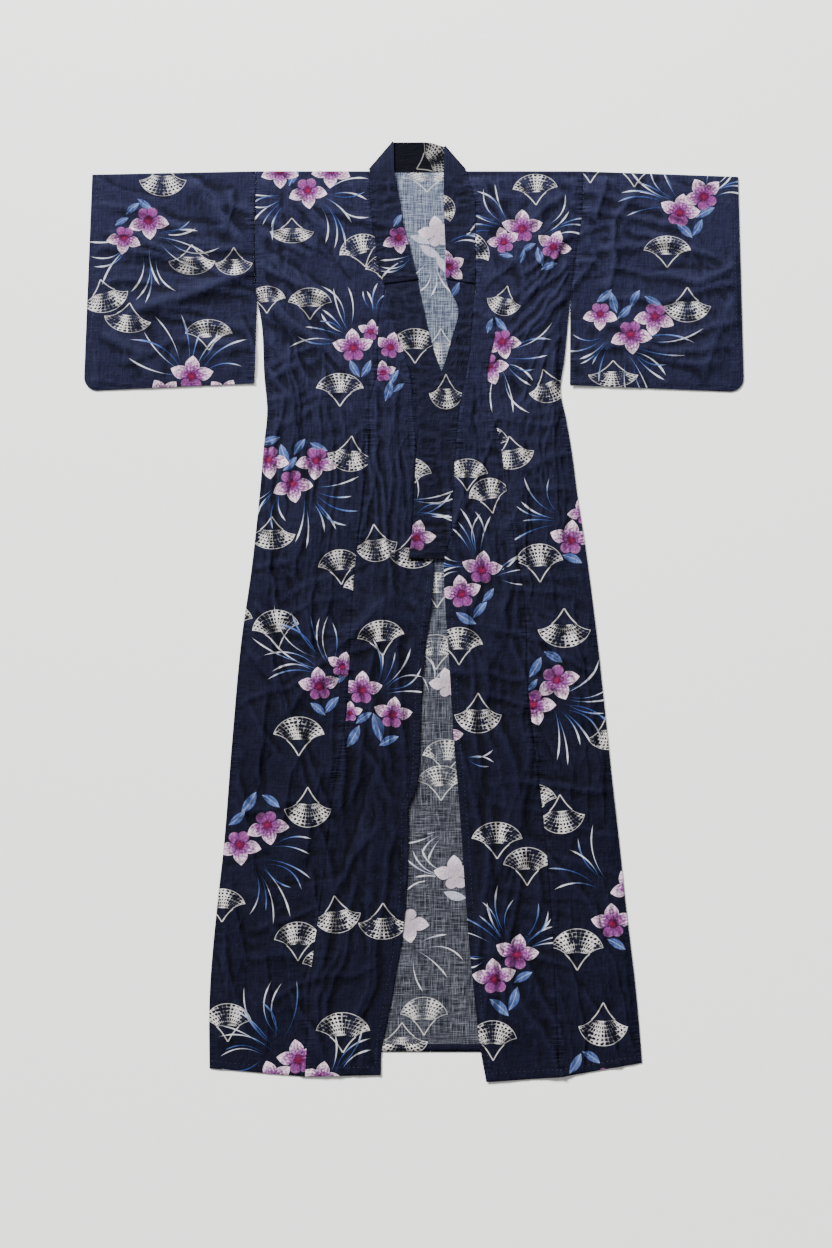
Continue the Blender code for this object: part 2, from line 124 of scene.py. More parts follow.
RIGHT_FRONT = [Edge(*row) for row in (
    (0.705, 0.037), (0.725, 0.037), (0.804, 0.029), (0.858, 0.023), (0.939, 0.015),
    (1.009, 0.012), (1.069, 0.010), (1.125, 0.004), (1.151, -0.008), (1.202, -0.010),
    (1.306, -0.013), (1.409, -0.023), (1.468, -0.034), (1.524, -0.044), (1.604, -0.059),
    (1.644, -0.060),
)]
LEFT_FRONT = [Edge(*row) for row in (
    (0.705, 0.055), (0.741, 0.055), (0.783, 0.057), (0.903, 0.065), (1.032, 0.073),
    (1.180, 0.085), (1.331, 0.095), (1.440, 0.104), (1.524, 0.113), (1.602, 0.122),
    (1.657, 0.132),
)]
CENTRE_BACK = [Edge(*row) for row in ((0.000, 0.006), (0.430, 0.013), (1.602, 0.030))]
RIGHT_RUNGS = [Rung(*row) for row in (
    (0.000, -0.081, -0.001, -0.036), (0.062, -0.079, 0.062, -0.025),
    (0.109, -0.072, 0.102, -0.018), (0.178, -0.063, 0.169, 0.000),
    (0.202, -0.0545, 0.202, 0.007), (0.268, -0.040, 0.279, 0.024),
    (0.315, -0.023, 0.328, 0.037), (0.359, -0.009, 0.366, 0.050),
    (0.433, 0.000, 0.433, 0.064), (0.504, 0.006, 0.504, 0.073),
    (0.606, 0.019, 0.606, 0.088), (0.705, 0.037, 0.705, 0.106),
)]
LEFT_RUNGS = [Rung(*row) for row in (
    (0.000, 0.096, -0.001, 0.055), (0.051, 0.110, 0.051, 0.055),
    (0.133, 0.112, 0.133, 0.058), (0.206, 0.111, 0.206, 0.062),
    (0.251, 0.108, 0.248, 0.081), (0.306, 0.104, 0.302, 0.070),
    (0.370, 0.095, 0.368, 0.049), (0.424, 0.084, 0.415, 0.022),
    (0.470, 0.079, 0.473, 0.010), (0.519, 0.075, 0.519, 0.005),
    (0.606, 0.070, 0.606, 0.001), (0.672, 0.065, 0.672, -0.004),
    (0.705, 0.055, 0.705, -0.009),
)]
RIGHT_TURN = Rung(-0.003, -0.080, -0.053, -0.037)
LEFT_TURN = Rung(-0.003, 0.093, -0.045, 0.056)
NECK_EDGE = (Edge(-0.053, -0.005), Edge(-0.052, 0.030))

SIDES = {"right": RIGHT_SIDE, "left": LEFT_SIDE}
GORES = {"right": RIGHT_GORE, "left": LEFT_GORE}
FRONTS = {"right": RIGHT_FRONT, "left": LEFT_FRONT}
RUNGS = {"right": RIGHT_RUNGS, "left": LEFT_RUNGS}
TURNS = {"right": RIGHT_TURN, "left": LEFT_TURN}
OUTWARD = {"right": -1, "left": 1}
# Hems of each front: at the side seam, at the gore seam and at the front edge
HEMS = {"right": (1.632, 1.647, 1.644), "left": (1.622, 1.648, 1.657)}
# Sleeves: top at the wrist, wrist across at top and bottom, lowest at wrist and armhole,
# and the armhole side's lowest place across
SLEEVES = {
    "right": (0.006, -0.585, -0.601, 0.398, 0.385, -0.290),
    "left": (0.010, 0.590, 0.601, 0.400, 0.388, 0.284),
}

# The largest creases, as in the solids
CREASES = [Crease(*row) for row in (
    (-0.295, 0.182, -0.517, 0.266, 0.018, 0.0045),
    (-0.407, 0.015, -0.307, 0.133, 0.016, 0.0025),
    (-0.553, 0.288, -0.462, 0.360, 0.022, 0.0025),
    (-0.380, 0.300, -0.330, 0.370, 0.020, 0.0020),
    (-0.560, 0.060, -0.500, 0.180, 0.022, 0.0015),
    (0.346, 0.010, 0.330, 0.087, 0.016, 0.0025),
    (0.401, 0.033, 0.366, 0.120, 0.016, 0.0028),
    (0.366, 0.120, 0.354, 0.215, 0.016, 0.0028),
    (0.589, 0.169, 0.512, 0.206, 0.020, 0.0022),
    (0.589, 0.233, 0.530, 0.370, 0.022, 0.0025),
    (0.440, 0.250, 0.400, 0.360, 0.020, 0.0018),
    (-0.270, 0.240, -0.152, 0.324, 0.018, 0.0035),
    (-0.265, 0.300, -0.190, 0.400, 0.018, 0.0028),
    (-0.225, 0.397, -0.207, 0.707, 0.018, 0.0040),
    (-0.170, 0.380, -0.162, 0.634, 0.017, 0.0032),
    (-0.116, 0.415, -0.125, 0.707, 0.017, 0.0035),
    (-0.040, 0.450, -0.035, 0.640, 0.017, 0.0020),
    (-0.150, 0.040, -0.120, 0.180, 0.020, 0.0020),
    (-0.052, 0.779, -0.207, 0.961, 0.020, 0.0042),
    (-0.052, 0.779, -0.025, 0.980, 0.018, 0.0030),
    (-0.290, 0.800, -0.270, 1.050, 0.022, 0.0030),
    (-0.153, 1.070, -0.225, 1.290, 0.022, 0.0035),
    (-0.298, 1.290, -0.207, 1.507, 0.022, 0.0028),
    (-0.080, 1.200, -0.110, 1.450, 0.022, 0.0028),
    (0.102, 0.005, 0.152, 0.097, 0.016, 0.0028),
    (0.230, 0.050, 0.180, 0.170, 0.020, 0.0022),
    (0.280, 0.240, 0.157, 0.379, 0.018, 0.0035),
    (0.265, 0.330, 0.190, 0.470, 0.018, 0.0028),
    (0.194, 0.415, 0.184, 0.707, 0.018, 0.0035),
    (0.248, 0.430, 0.250, 0.670, 0.018, 0.0035),
    (0.115, 0.500, 0.125, 0.700, 0.016, 0.0015),
    (0.230, 0.816, 0.321, 0.998, 0.022, 0.0038),
    (0.157, 1.034, 0.193, 1.253, 0.022, 0.0030),
    (0.266, 1.253, 0.357, 1.471, 0.022, 0.0032),
    (0.160, 0.780, 0.110, 0.980, 0.020, 0.0028),
    (0.130, 1.330, 0.190, 1.560, 0.022, 0.0025),
)]

LARGE_HEIGHT = 1.2  # times the heights in the table above
FINE_HEIGHT = 0.0023  # metres for each 1 of height in the two tables below
# Smaller creases in photo pixels: two ends, half width and height. Their steep side faces
# away from the window, down and to the right.
Fine = namedtuple("Fine", "x_a y_a x_b y_b half_width height")
FINE_CREASES = [Fine(*row) for row in (
    (254, 266, 200, 294, 5, 3.4), (205, 292, 132, 318, 5, 3.2), (190, 180, 245, 245, 4, 2.6),
    (195, 180, 228, 207, 3, 2.2), (232, 190, 224, 232, 4, 1.6),
    (110, 250, 160, 262, 4, 0.9), (100, 340, 150, 352, 5, 1.2),
    (120, 362, 175, 345, 4, 1.0), (210, 360, 245, 352, 4, 1.0), (160, 320, 245, 330, 5, 1.2),
    (604, 176, 595, 220, 3, 1.8), (634, 190, 615, 220, 3, 1.7), (615, 220, 613, 240, 3, 1.9),
    (613, 240, 616, 262, 3, 1.7), (616, 262, 608, 290, 3, 1.4), (577, 261, 596, 262, 2, 1.2),
    (737, 265, 695, 285, 4, 1.4), (737, 300, 705, 375, 5, 1.4), (640, 355, 720, 366, 5, 1.0),
    (262, 262, 330, 305, 4, 1.8), (264, 285, 300, 330, 3, 1.5), (266, 300, 340, 372, 4, 1.4),
    (266, 400, 292, 396, 3, 1.6), (284, 396, 277, 442, 3, 2.2), (281, 425, 300, 420, 3, 1.4),
    (300, 405, 345, 392, 3, 1.4), (303, 418, 330, 402, 3, 1.3), (270, 380, 300, 372, 3, 1.2),
    (330, 400, 328, 470, 4, 1.5), (345, 410, 340, 520, 4, 1.5), (362, 420, 357, 560, 4, 1.6),
    (378, 400, 377, 480, 3, 1.5), (392, 420, 388, 540, 3, 1.5), (402, 440, 398, 560, 3, 1.3),
    (300, 480, 292, 580, 4, 1.4), (318, 500, 312, 620, 4, 1.3), (270, 500, 262, 600, 4, 1.3),
    (385, 600, 330, 660, 4, 1.6), (330, 660, 290, 720, 5, 1.4), (385, 600, 372, 690, 4, 1.5),
    (372, 690, 390, 760, 4, 1.3), (256, 600, 300, 640, 4, 1.2), (250, 700, 285, 760, 5, 1.2),
    (350, 720, 395, 800, 4, 1.4), (322, 770, 300, 860, 5, 1.4), (240, 770, 250, 880, 5, 1.1),
    (380, 830, 330, 900, 5, 1.3), (330, 900, 318, 985, 5, 1.2), (250, 880, 290, 960, 5, 1.3),
    (225, 950, 250, 1040, 5, 1.2), (370, 930, 352, 1050, 5, 1.2), (290, 990, 320, 1060, 5, 1.1),
    (470, 176, 497, 225, 3, 1.9), (488, 182, 520, 250, 4, 1.3), (575, 230, 530, 262, 4, 1.4),
    (572, 258, 520, 300, 4, 1.6), (570, 290, 500, 360, 4, 1.5), (565, 330, 520, 420, 4, 1.4),
    (560, 380, 540, 395, 3, 1.6), (548, 392, 556, 440, 3, 1.8), (535, 400, 545, 480, 3, 1.5),
    (520, 420, 522, 520, 4, 1.5), (508, 400, 512, 470, 3, 1.4), (560, 450, 566, 560, 4, 1.3),
    (480, 520, 470, 620, 4, 1.3), (500, 540, 505, 640, 4, 1.2), (545, 560, 560, 640, 4, 1.2),
    (470, 640, 495, 700, 4, 1.2), (540, 640, 585, 720, 5, 1.6), (585, 720, 600, 800, 5, 1.3),
    (500, 720, 520, 800, 5, 1.3), (520, 800, 500, 880, 5, 1.2), (545, 850, 600, 920, 5, 1.4),
    (600, 920, 612, 1000, 5, 1.2), (480, 900, 500, 1000, 5, 1.2), (530, 960, 560, 1050, 5, 1.3),
    (580, 990, 620, 1050, 5, 1.1), (470, 750, 480, 840, 4, 1.1),
)]

# Bundles of creases that lie side by side, also in photo pixels: the middle one's two ends,
# how widely and how many lie round it, half width and height
Bundle = namedtuple("Bundle", "x_a y_a x_b y_b spread count half_width height")
BUNDLES = [Bundle(*row) for row in (
    (300, 370, 295, 520, 75, 10, 3.0, 1.7), (300, 480, 290, 620, 85, 8, 3.4, 1.5),
    (388, 400, 384, 560, 44, 7, 2.8, 1.6), (262, 265, 335, 345, 55, 6, 3.0, 1.6),
    (268, 330, 300, 400, 44, 5, 3.0, 1.5), (265, 195, 355, 260, 70, 5, 3.8, 1.2),
    (280, 600, 330, 720, 95, 7, 3.8, 1.5), (320, 700, 300, 860, 115, 8, 4.6, 1.5),
    (260, 860, 270, 1050, 120, 7, 4.8, 1.3), (385, 620, 372, 800, 50, 5, 3.6, 1.4),
    (362, 800, 350, 1060, 55, 5, 4.2, 1.3), (530, 370, 535, 520, 80, 10, 3.0, 1.7),
    (525, 480, 540, 620, 85, 8, 3.4, 1.5), (465, 420, 468, 560, 44, 7, 2.8, 1.5),
    (570, 262, 510, 350, 55, 6, 3.0, 1.6), (566, 330, 535, 420, 44, 5, 3.0, 1.5),
    (575, 200, 500, 270, 70, 5, 3.8, 1.2), (545, 600, 575, 720, 95, 7, 3.8, 1.5),
    (550, 700, 570, 860, 115, 8, 4.6, 1.4), (560, 860, 590, 1050, 115, 7, 4.8, 1.3),
    (480, 620, 490, 820, 50, 5, 3.6, 1.4), (490, 820, 500, 1060, 55, 5, 4.2, 1.2),
    (105, 200, 245, 235, 100, 6, 3.8, 1.1), (95, 290, 245, 300, 120, 7, 3.8, 1.1),
    (595, 220, 730, 240, 100, 6, 3.8, 1.1), (585, 330, 735, 320, 110, 7, 3.8, 1.1),
    (262, 425, 345, 405, 130, 7, 2.6, 1.1), (490, 430, 570, 420, 130, 7, 2.6, 1.1),
    (250, 640, 400, 600, 160, 6, 3.2, 0.9), (470, 620, 590, 650, 160, 6, 3.2, 0.9),
    (240, 900, 370, 880, 200, 6, 3.8, 0.9), (480, 860, 620, 890, 200, 6, 3.8, 0.9),
)]


def smooth(value):
    """An S-curve from 0 to 1."""
    value = np.clip(value, 0.0, 1.0)
    return value * value * (3 - 2 * value)


def curve(stations, values, at):
    """A smooth line through the values at their stations."""
    stations, values, at = (np.asarray(part, float) for part in (stations, values, at))
    slopes = np.gradient(values, stations)
    which = np.clip(np.searchsorted(stations, at) - 1, 0, len(stations) - 2)
    step = stations[which + 1] - stations[which]
    t = np.clip((at - stations[which]) / step, 0, 1)
    start = values[which] * (2 * t ** 3 - 3 * t ** 2 + 1) + slopes[which] * step * (
        t ** 3 - 2 * t ** 2 + t)
    return start + values[which + 1] * (3 * t ** 2 - 2 * t ** 3) + slopes[which + 1] * step * (
        t ** 3 - t ** 2)


def along(edge, down):
    """Across of an edge at these places down."""
    return curve([e.down for e in edge], [e.across for e in edge], down)


def rung_at(rungs, seam_down):
    """Seam across, free down and free across of the collar's rungs at these seam heights."""
    downs = [r.seam_down for r in rungs]
    return [curve(downs, [r[column] for r in rungs], seam_down) for column in (1, 2, 3)]


def bumps(u, v, seed):
    """Smooth random values from -1 to 1, about one bump for each unit."""
    table = np.random.default_rng(seed).uniform(-1, 1, (64, 64))
    i, j = np.floor(u).astype(int), np.floor(v).astype(int)
    fu, fv = smooth(u - i), smooth(v - j)
    low = table[i % 64, j % 64] * (1 - fu) + table[(i + 1) % 64, j % 64] * fu
    high = table[i % 64, (j + 1) % 64] * (1 - fu) + table[(i + 1) % 64, (j + 1) % 64] * fu
    return low * (1 - fv) + high * fv


def crests(u, v, seed):
    """Thin soft crests between random bumps, from 0 to 1."""
    return (1 - np.abs(bumps(u, v, seed))) ** 4


def large_creases(across, down):
    """The largest creases, each a soft ridge that dies out past its two ends."""
    height = np.zeros_like(across)
    for crease in CREASES:
        run_across, run_down = crease.across_b - crease.across_a, crease.down_b - crease.down_a
        length = math.hypot(run_across, run_down)
        off_across, off_down = across - crease.across_a, down - crease.down_a
        share = (off_across * run_across + off_down * run_down) / length ** 2
        aside = np.abs(off_across * run_down - off_down * run_across) / length
        ends = smooth(share * 4 + 0.5) * smooth((1 - share) * 4 + 0.5)
        height += crease.height * ends * np.exp(-(aside / crease.half_width) ** 2)
    return height * LARGE_HEIGHT


def spread_bundles():
    """The single creases of every bundle, some of them troughs, each of its own size."""
    random = np.random.default_rng(12)
    creases = []
    for bundle in BUNDLES:
        run = np.array([bundle.x_b - bundle.x_a, bundle.y_b - bundle.y_a], float)
        length = np.linalg.norm(run)
        heading = math.atan2(run[1], run[0])
        middle = np.array([bundle.x_a + bundle.x_b, bundle.y_a + bundle.y_b]) / 2
        for number in range(bundle.count):
            beside = (number + random.uniform(0.1, 0.9)) / bundle.count - 0.5
            centre = middle + np.array([-run[1], run[0]]) / length * bundle.spread * beside
            centre = centre + run * random.uniform(-0.3, 0.3)
            angle = heading + random.normal(0, 0.16)
            half = length * random.uniform(0.22, 0.55) * np.array(
                [math.cos(angle), math.sin(angle)])
            ends = (centre - half, centre + half)[::random.choice([-1, 1])]
            sign = random.choice([1, 1, 1, -0.5])
            creases.append(Fine(*ends[0], *ends[1],
                                bundle.half_width * random.uniform(0.6, 1.3),
                                bundle.height * random.uniform(0.5, 1.25) * sign))
    return creases


ALL_FINE_CREASES = FINE_CREASES + spread_bundles()


def fine_creases(across, down):
    """Creases with a steep side and a gentle side, as folded cotton keeps them."""
    x, y = across / PIXEL + MIDDLE_X, down / PIXEL + SHOULDER_ROW
    wander = bumps(x / 13, y / 13, 5) * 1.8 + bumps(x / 45, y / 45, 8) * 6
    height = np.zeros_like(x)
    for crease in ALL_FINE_CREASES:
        run_x, run_y = crease.x_b - crease.x_a, crease.y_b - crease.y_a
        length = math.hypot(run_x, run_y)
        share = ((x - crease.x_a) * run_x + (y - crease.y_a) * run_y) / length ** 2
        aside = ((x - crease.x_a) * run_y - (y - crease.y_a) * run_x) / length
        aside = aside * (1 if run_x > run_y else -1) + wander
        width = crease.half_width * np.where(aside < 0, 0.42, 2.2)
        ends = smooth(share * 4 + 0.4) * smooth((1 - share) * 4 + 0.4)
        height += crease.height * FINE_HEIGHT * ends * np.exp(-np.abs(aside / width) ** 1.25)
    return height * (1 + 0.2 * smooth((down - 0.7) / 0.3))


def pleats(u, v, seed):
    """Round folds that meet in sharp valleys, from 0 to 1."""
    return np.abs(bumps(u, v, seed)) ** 0.8


# The crinkle's parts: form, height, size of one bump across and down, seed of its random
# values, and whether it lies only at the waist
Crinkle = namedtuple("Crinkle", "form height across down seed at_waist")
CRINKLES = [Crinkle(*row) for row in (
    (bumps, 0.0012, 0.040, 0.080, 1, False), (crests, 0.0016, 0.030, 0.085, 2, False),
    (crests, 0.0008, 0.014, 0.030, 3, False), (pleats, 0.0024, 0.036, 0.13, 15, False),
    (pleats, 0.0028, 0.020, 0.11, 6, True), (crests, 0.0014, 0.010, 0.050, 7, True),
    (pleats, 0.0030, 0.075, 0.11, 19, False),
)]


def crumple(across, down):
    """The all-over crinkle of washed cotton, drawn out along the cloth and at the waist."""
    waist = np.exp(-((down - 0.53) / 0.17) ** 2)
    strength = 0.7 + 0.5 * bumps(across / 0.09, down / 0.09, 10)
    across = across + 0.010 * bumps(across / 0.05, down / 0.05, 9)
    down = down + 0.012 * bumps(across / 0.06, down / 0.06, 13)
    height = 0.0014 * crests((across + down) / 0.060, (down - across) / 0.028, 14)
    for part in CRINKLES:
        form = part.form(across / part.across, down / part.down, part.seed)
        height += part.height * form * (waist if part.at_waist else 1)
    return height * strength * (1 - 0.25 * smooth((down - 0.7) / 0.3))


def soft_limit(relief):
    """Keeps creases that meet from piling up."""
    return HIGHEST * np.tanh(relief / HIGHEST)


def fade_in(share):
    """Creases as they are at an edge, where share is 0, and in the open, where it is 1."""
    return EDGE_SHARE + (1 - EDGE_SHARE) * share


def lift_over_right_front(across, down):
    """How far the left front is carried where it crosses the right one."""
    lower_edge = rung_at(RIGHT_RUNGS, np.clip(down, 0, COLLAR_END))[2]
    beyond = np.hypot(np.maximum(across - lower_edge, 0), np.maximum(down - COLLAR_END, 0))
    return (BAND + CROSSING_CLEAR) * (1 - smooth((beyond - PLATEAU) / RAMP))


def laid_bare(half, across, down):
    """1 where the creases are free to stand, and little where the left half lies over them."""
    if half == "left":
        return np.ones_like(across)
    edge = rung_at(LEFT_RUNGS, np.clip(down, 0, COLLAR_END))[2]
    covered = smooth((across - edge + 0.006) / 0.008) * smooth((COLLAR_END + 0.012 - down) / 0.010)
    return 1 - (1 - COVERED_SHARE) * covered


def puckers(distance, run, seed):
    """Short ripples that a seam pulls into the cloth beside it."""
    ripple = bumps(run / PUCKER_RUN, np.zeros_like(run) + seed, 30 + seed)
    return PUCKER * np.exp(-distance / PUCKER_REACH) * np.clip(ripple + 0.2, 0, 1)


def front_relief(half, across, down):
    """Height of a front's cloth over what lies under it."""
    height = np.full_like(across, CLOTH + GAP)
    if half == "left":
        height += lift_over_right_front(across, down)
    side = along(SIDES[half], down)
    from_side = np.abs(side - across)
    fade = smooth(from_side / EDGE_FADE) * smooth(down / EDGE_FADE)
    relief = large_creases(across, down) + fine_creases(across, down) + crumple(across, down)
    relief += puckers(from_side, down, 1)
    gore = along(GORES[half], np.maximum(down, SWORD_POINT))
    below = down > SWORD_POINT
    relief += np.where(below, puckers(np.abs(across - gore), down, 2), 0)
    collar = rung_at(RUNGS[half], np.clip(down, 0, COLLAR_END))[0]
    relief += np.where(down < COLLAR_END, puckers(np.abs(across - collar), down, 3), 0)
    relief = soft_limit(np.maximum(relief, LOWEST_FRONT)) * laid_bare(half, across, down)
    return height + fade_in(fade) * relief


def spaced(length, step, edge=0.004):
    """Shares from 0 to 1 along a length, closer together beside both ends."""
    count = max(int((length - 2 * edge) / step), 2)
    inner = np.linspace(edge / length, 1 - edge / length, count + 1)
    rim = np.array([0, 0.15, 0.45]) * edge / length
    return np.concatenate([rim, inner, 1 - rim[::-1]])


def tuck(distance):
    """How far a sewn edge dips into its seam."""
    return -DIP * np.exp(-(distance / DIP_REACH) ** 2)


Sheet = namedtuple("Sheet", "obj across down layer height")


def linked(name, data):
    """An object in the scene that holds a mesh, a light or a camera."""
    obj = bpy.data.objects.new(name, data)
    bpy.context.scene.collection.objects.link(obj)
    return obj


def finished(name, mesh):
    """An object in the scene from a mesh that needs no more work."""
    data = bpy.data.meshes.new(name)
    mesh.to_mesh(data)
    mesh.free()
    return linked(name, data)


def make_sheet(name, node, across, down, height, layer, keep=None, right_side_up=True):
    """A sheet of cloth from arrays of places, a row of the array for each row of the cloth."""
    rows, columns = across.shape
    mesh = bmesh.new()
    bmesh.ops.create_grid(mesh, x_segments=columns - 1, y_segments=rows - 1, size=1)
    points = np.stack([across, SHOULDER_Y - down, height], -1).reshape(-1, 3)
    for vertex, point in zip(mesh.verts, points):
        vertex.co = point
    grid = mesh.verts.layers.int.new("grid")
    for vertex in mesh.verts:
        vertex[grid] = vertex.index
    if keep is not None:
        keep = keep.reshape(-1)
        gone = [face for face, kept in zip(mesh.faces, keep) if not kept]
        bmesh.ops.delete(mesh, geom=gone, context="FACES")
    if not right_side_up:
        bmesh.ops.reverse_faces(mesh, faces=mesh.faces[:])
    for face in mesh.faces:
        face.smooth = True
    obj = finished(name, mesh)
    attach(obj, "root")
    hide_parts(node)
    return Sheet(obj, across.reshape(-1), down.reshape(-1), layer.reshape(-1), height)


def point_grid(sheet):
    """The grid number of each point."""
    data = sheet.obj.data
    numbers = np.zeros(len(data.vertices), np.int32)
    data.attributes["grid"].data.foreach_get("value", numbers)
    return numbers


def corner_grid(sheet):
    """The grid number of each face corner's point, four to a face."""
    loops = sheet.obj.data.loops
    corners = np.zeros(len(loops), np.int32)
    loops.foreach_get("vertex_index", corners)
    return point_grid(sheet)[corners].reshape(-1, 4)


# The print, in photo pixels. Each motif is cut off at the seams of the piece that its place
# is on. A fan's and a flower's place is its middle; turn is counter-clockwise from upright.
Fan = namedtuple("Fan", "x y turn wide tall")
Flower = namedtuple("Flower", "x y turn size")
Leaf = namedtuple("Leaf", "x y turn length")
Spray = namedtuple("Spray", "x y low high count reach")
FAN_RADIUS, FLOWER_RADIUS = 35.5, 21.4
FAN_SPREAD, FLOWER_HEIGHT = 1.11, 0.93

FRONT_FANS = [Fan(*row) for row in (
    (163, 179, 180, 1, 1), (192, 260, 180, 1, 0.86), (234, 262, 180, 0.80, 0.80),
    (105, 296, 195, 1, 0.95), (128, 318, 172, 1, 0.85), (209, 335, 0, 1, 0.88),
    (292, 231, 180, 0.93, 0.72), (361, 251, 16, 0.92, 0.95), (267, 300, 0, 0.80, 0.78),
    (310, 304, 0, 0.92, 0.90), (340, 390, 0, 1, 0.95), (350, 454, 174, 0.95, 1.02),
    (272, 533, 180, 1, 0.93), (376, 543, 187, 0.90, 1.08), (340, 567, 5, 0.92, 1.0),
    (413, 551, 180, 1.05, 1.0), (229, 620, 0, 1, 1), (276, 629, 8, 1, 1.10),
    (381, 638, 6, 1, 1.02), (299, 736, 0, 1.08, 1.12), (308, 807, 180, 1, 1.15),
    (222, 905, 0, 1, 0.95), (337, 914, 188, 1, 1.08), (383, 921, 180, 1.05, 1.05),
    (298, 941, 0, 1, 1.12), (228, 1022, 0, 1, 1.10),
    (343, 1032, 0, 1.15, 1.15), (535, 190, 3, 0.95, 0.90),
    (548, 386, 198, 0.88, 0.98), (512, 453, 190, 0.92, 0.95),
    (467, 475, 0, 0.88, 0.92), (489, 496, 12, 0.86, 1.02), (539, 563, 3, 1.02, 1.1),
    (459, 646, 0, 1, 1.08), (478, 713, 180, 1, 1.15), (564, 628, 180, 1.12, 1.12),
    (610, 732, 192, 1, 1), (561, 814, 184, 1, 1.12),
    (497, 840, 0, 1.08, 1.05), (527, 866, 0, 1.02, 1.1), (577, 949, 0, 1.1, 1.2),
    (493, 1040, 0, 1, 1.15), (603, 1024, 180, 1.05, 1.25),
    (590, 166, 0, 1, 1), (634, 170, 0, 1, 1), (667, 252, 0, 1, 0.90),
    (687, 305, 180, 1, 1.0), (613, 374, 180, 1.06, 0.76), (695, 403, 0, 1, 1),
)]
# Fans that a seam has cut the most of away, on the piece where their rest is left
CUT_FANS = {
    ("right", "body"): [Fan(326, 965, 0, 1, 1), Fan(367, 589, 0, 1, 1), Fan(389, 271, 0, 1, 1)],
    ("left", "body"): [Fan(532, 802, 6, 1.05, 1.05), Fan(485, 443, 0, 1, 1),
                       Fan(470, 250, -35, 0.9, 0.95), Fan(504, 301, 167, 0.72, 0.86)],
}
FRONT_FLOWERS = [Flower(*row) for row in (
    (149, 224, 186, 1), (124, 241, 172, 0.85), (192, 373, -4, 1.05), (162, 393, 30, 0.9),
    (226, 393, -30, 0.9),
    (280, 174, 182, 0.92), (331, 173, 176, 0.96), (308, 194, 186, 0.95),
    (353, 345, 3, 1), (371, 330, -8, 0.64), (391, 345, -15, 0.80), (383, 371, 5, 0.64),
    (269, 463, 185, 1), (293, 487, 190, 1), (316, 464, 175, 1),
    (343, 664, -16, 0.78), (319, 683, 5, 1), (350, 711, 0, 0.62), (362, 687, -3, 1),
    (393, 712, -8, 0.95), (240, 848, 185, 1.05), (268, 828, 190, 1.05),
    (298, 1056, 10, 1.05), (272, 1076, 20, 1), (322, 1076, -10, 0.95),
    (522, 226, 0, 1), (503, 240, 14, 0.8), (554, 245, -22, 0.88),
    (503, 345, 192, 0.90), (490, 370, 200, 0.95), (482, 567, -6, 1), (461, 591, 8, 1),
    (571, 537, -4, 1.05), (583, 511, 20, 0.8), (558, 683, 205, 1.1), (534, 708, 195, 1.1),
    (446, 733, -10, 0.85), (517, 951, -10, 1.08), (494, 975, 6, 1.08), (612, 920, 4, 1.05),
    (629, 885, 30, 1), (607, 1081, 180, 0.85),
    (702, 194, 28, 1), (680, 210, -12, 1), (600, 317, 178, 0.85), (631, 338, 186, 1.02),
    (654, 320, 172, 1),
)]
FRONT_LEAVES = [Leaf(*row) for row in (
    (133, 209, 40, 18), (145, 204, -35, 18), (122, 222, 30, 16), (294, 178, 60, 20),
    (366, 369, 60, 20), (355, 369, 120, 20), (394, 378, 60, 18), (388, 391, 75, 22),
    (399, 388, 40, 14), (270, 440, 15, 22), (285, 455, 110, 24), (290, 464, 45, 20),
    (300, 447, 55, 20), (319, 447, -25, 20), (341, 679, 40, 16), (318, 709, 140, 20),
    (332, 705, 50, 22), (353, 736, 60, 26), (364, 718, 35, 20), (377, 727, 105, 30),
    (389, 741, 25, 22), (249, 802, 55, 26), (271, 801, -35, 22), (237, 818, 40, 22),
    (506, 256, -10, 14), (522, 257, 75, 14), (529, 248, 30, 16), (540, 257, -75, 20),
    (549, 267, 22, 18), (490, 326, 70, 16), (501, 324, -50, 18),
    (488, 595, 50, 18), (480, 610, 50, 22), (466, 618, -30, 24),
    (572, 559, -22, 22), (535, 667, 60, 24), (553, 657, -30, 22), (532, 685, 50, 16),
    (523, 977, 30, 22), (513, 998, 70, 26), (499, 1007, -42, 26), (616, 944, -30, 22),
    (575, 1063, 60, 24), (591, 1057, -34, 22),
    (705, 213, 28, 22), (697, 228, 60, 20), (684, 231, -42, 22), (604, 296, 40, 20),
    (614, 303, 105, 22), (624, 312, 45, 20), (635, 299, 62, 20), (653, 301, -28, 20),
)]
# Sprays of grass: root, lowest and highest direction in degrees, blades and their reach
FRONT_SPRAYS = [Spray(*row) for row in (
    (138, 238, 172, 235, 4, 46), (148, 242, -120, -55, 5, 48), (146, 234, -35, 24, 6, 54),
    (190, 380, 8, 172, 10, 60), (288, 196, 165, 262, 7, 38), (320, 194, -98, 28, 8, 46),
    (352, 340, 92, 192, 9, 44), (374, 318, 55, 125, 4, 30), (306, 490, -115, 25, 8, 48),
    (278, 486, 190, 290, 5, 36), (332, 674, 82, 188, 12, 64), (378, 694, -12, 108, 7, 44),
    (256, 856, -105, -12, 7, 54), (264, 846, -25, 12, 2, 44), (280, 1054, 72, 198, 12, 58),
    (330, 1078, 18, 92, 4, 46), (510, 230, 98, 205, 8, 44), (540, 238, -12, 66, 5, 42),
    (497, 358, -98, 40, 9, 46), (562, 522, 100, 212, 6, 50), (478, 562, 66, 132, 6, 44),
    (468, 566, 138, 218, 5, 30), (488, 578, -8, 48, 5, 40), (554, 700, -98, 52, 11, 54),
    (508, 947, 78, 168, 7, 54), (518, 950, -2, 76, 6, 44), (490, 957, 160, 216, 3, 26),
    (609, 888, 92, 188, 5, 54), (680, 206, 105, 196, 9, 48),
    (704, 197, -12, 74, 6, 38), (622, 344, -82, 16, 9, 58), (612, 336, 172, 262, 6, 44),
    (463, 757, -42, 34, 3, 34),
)]
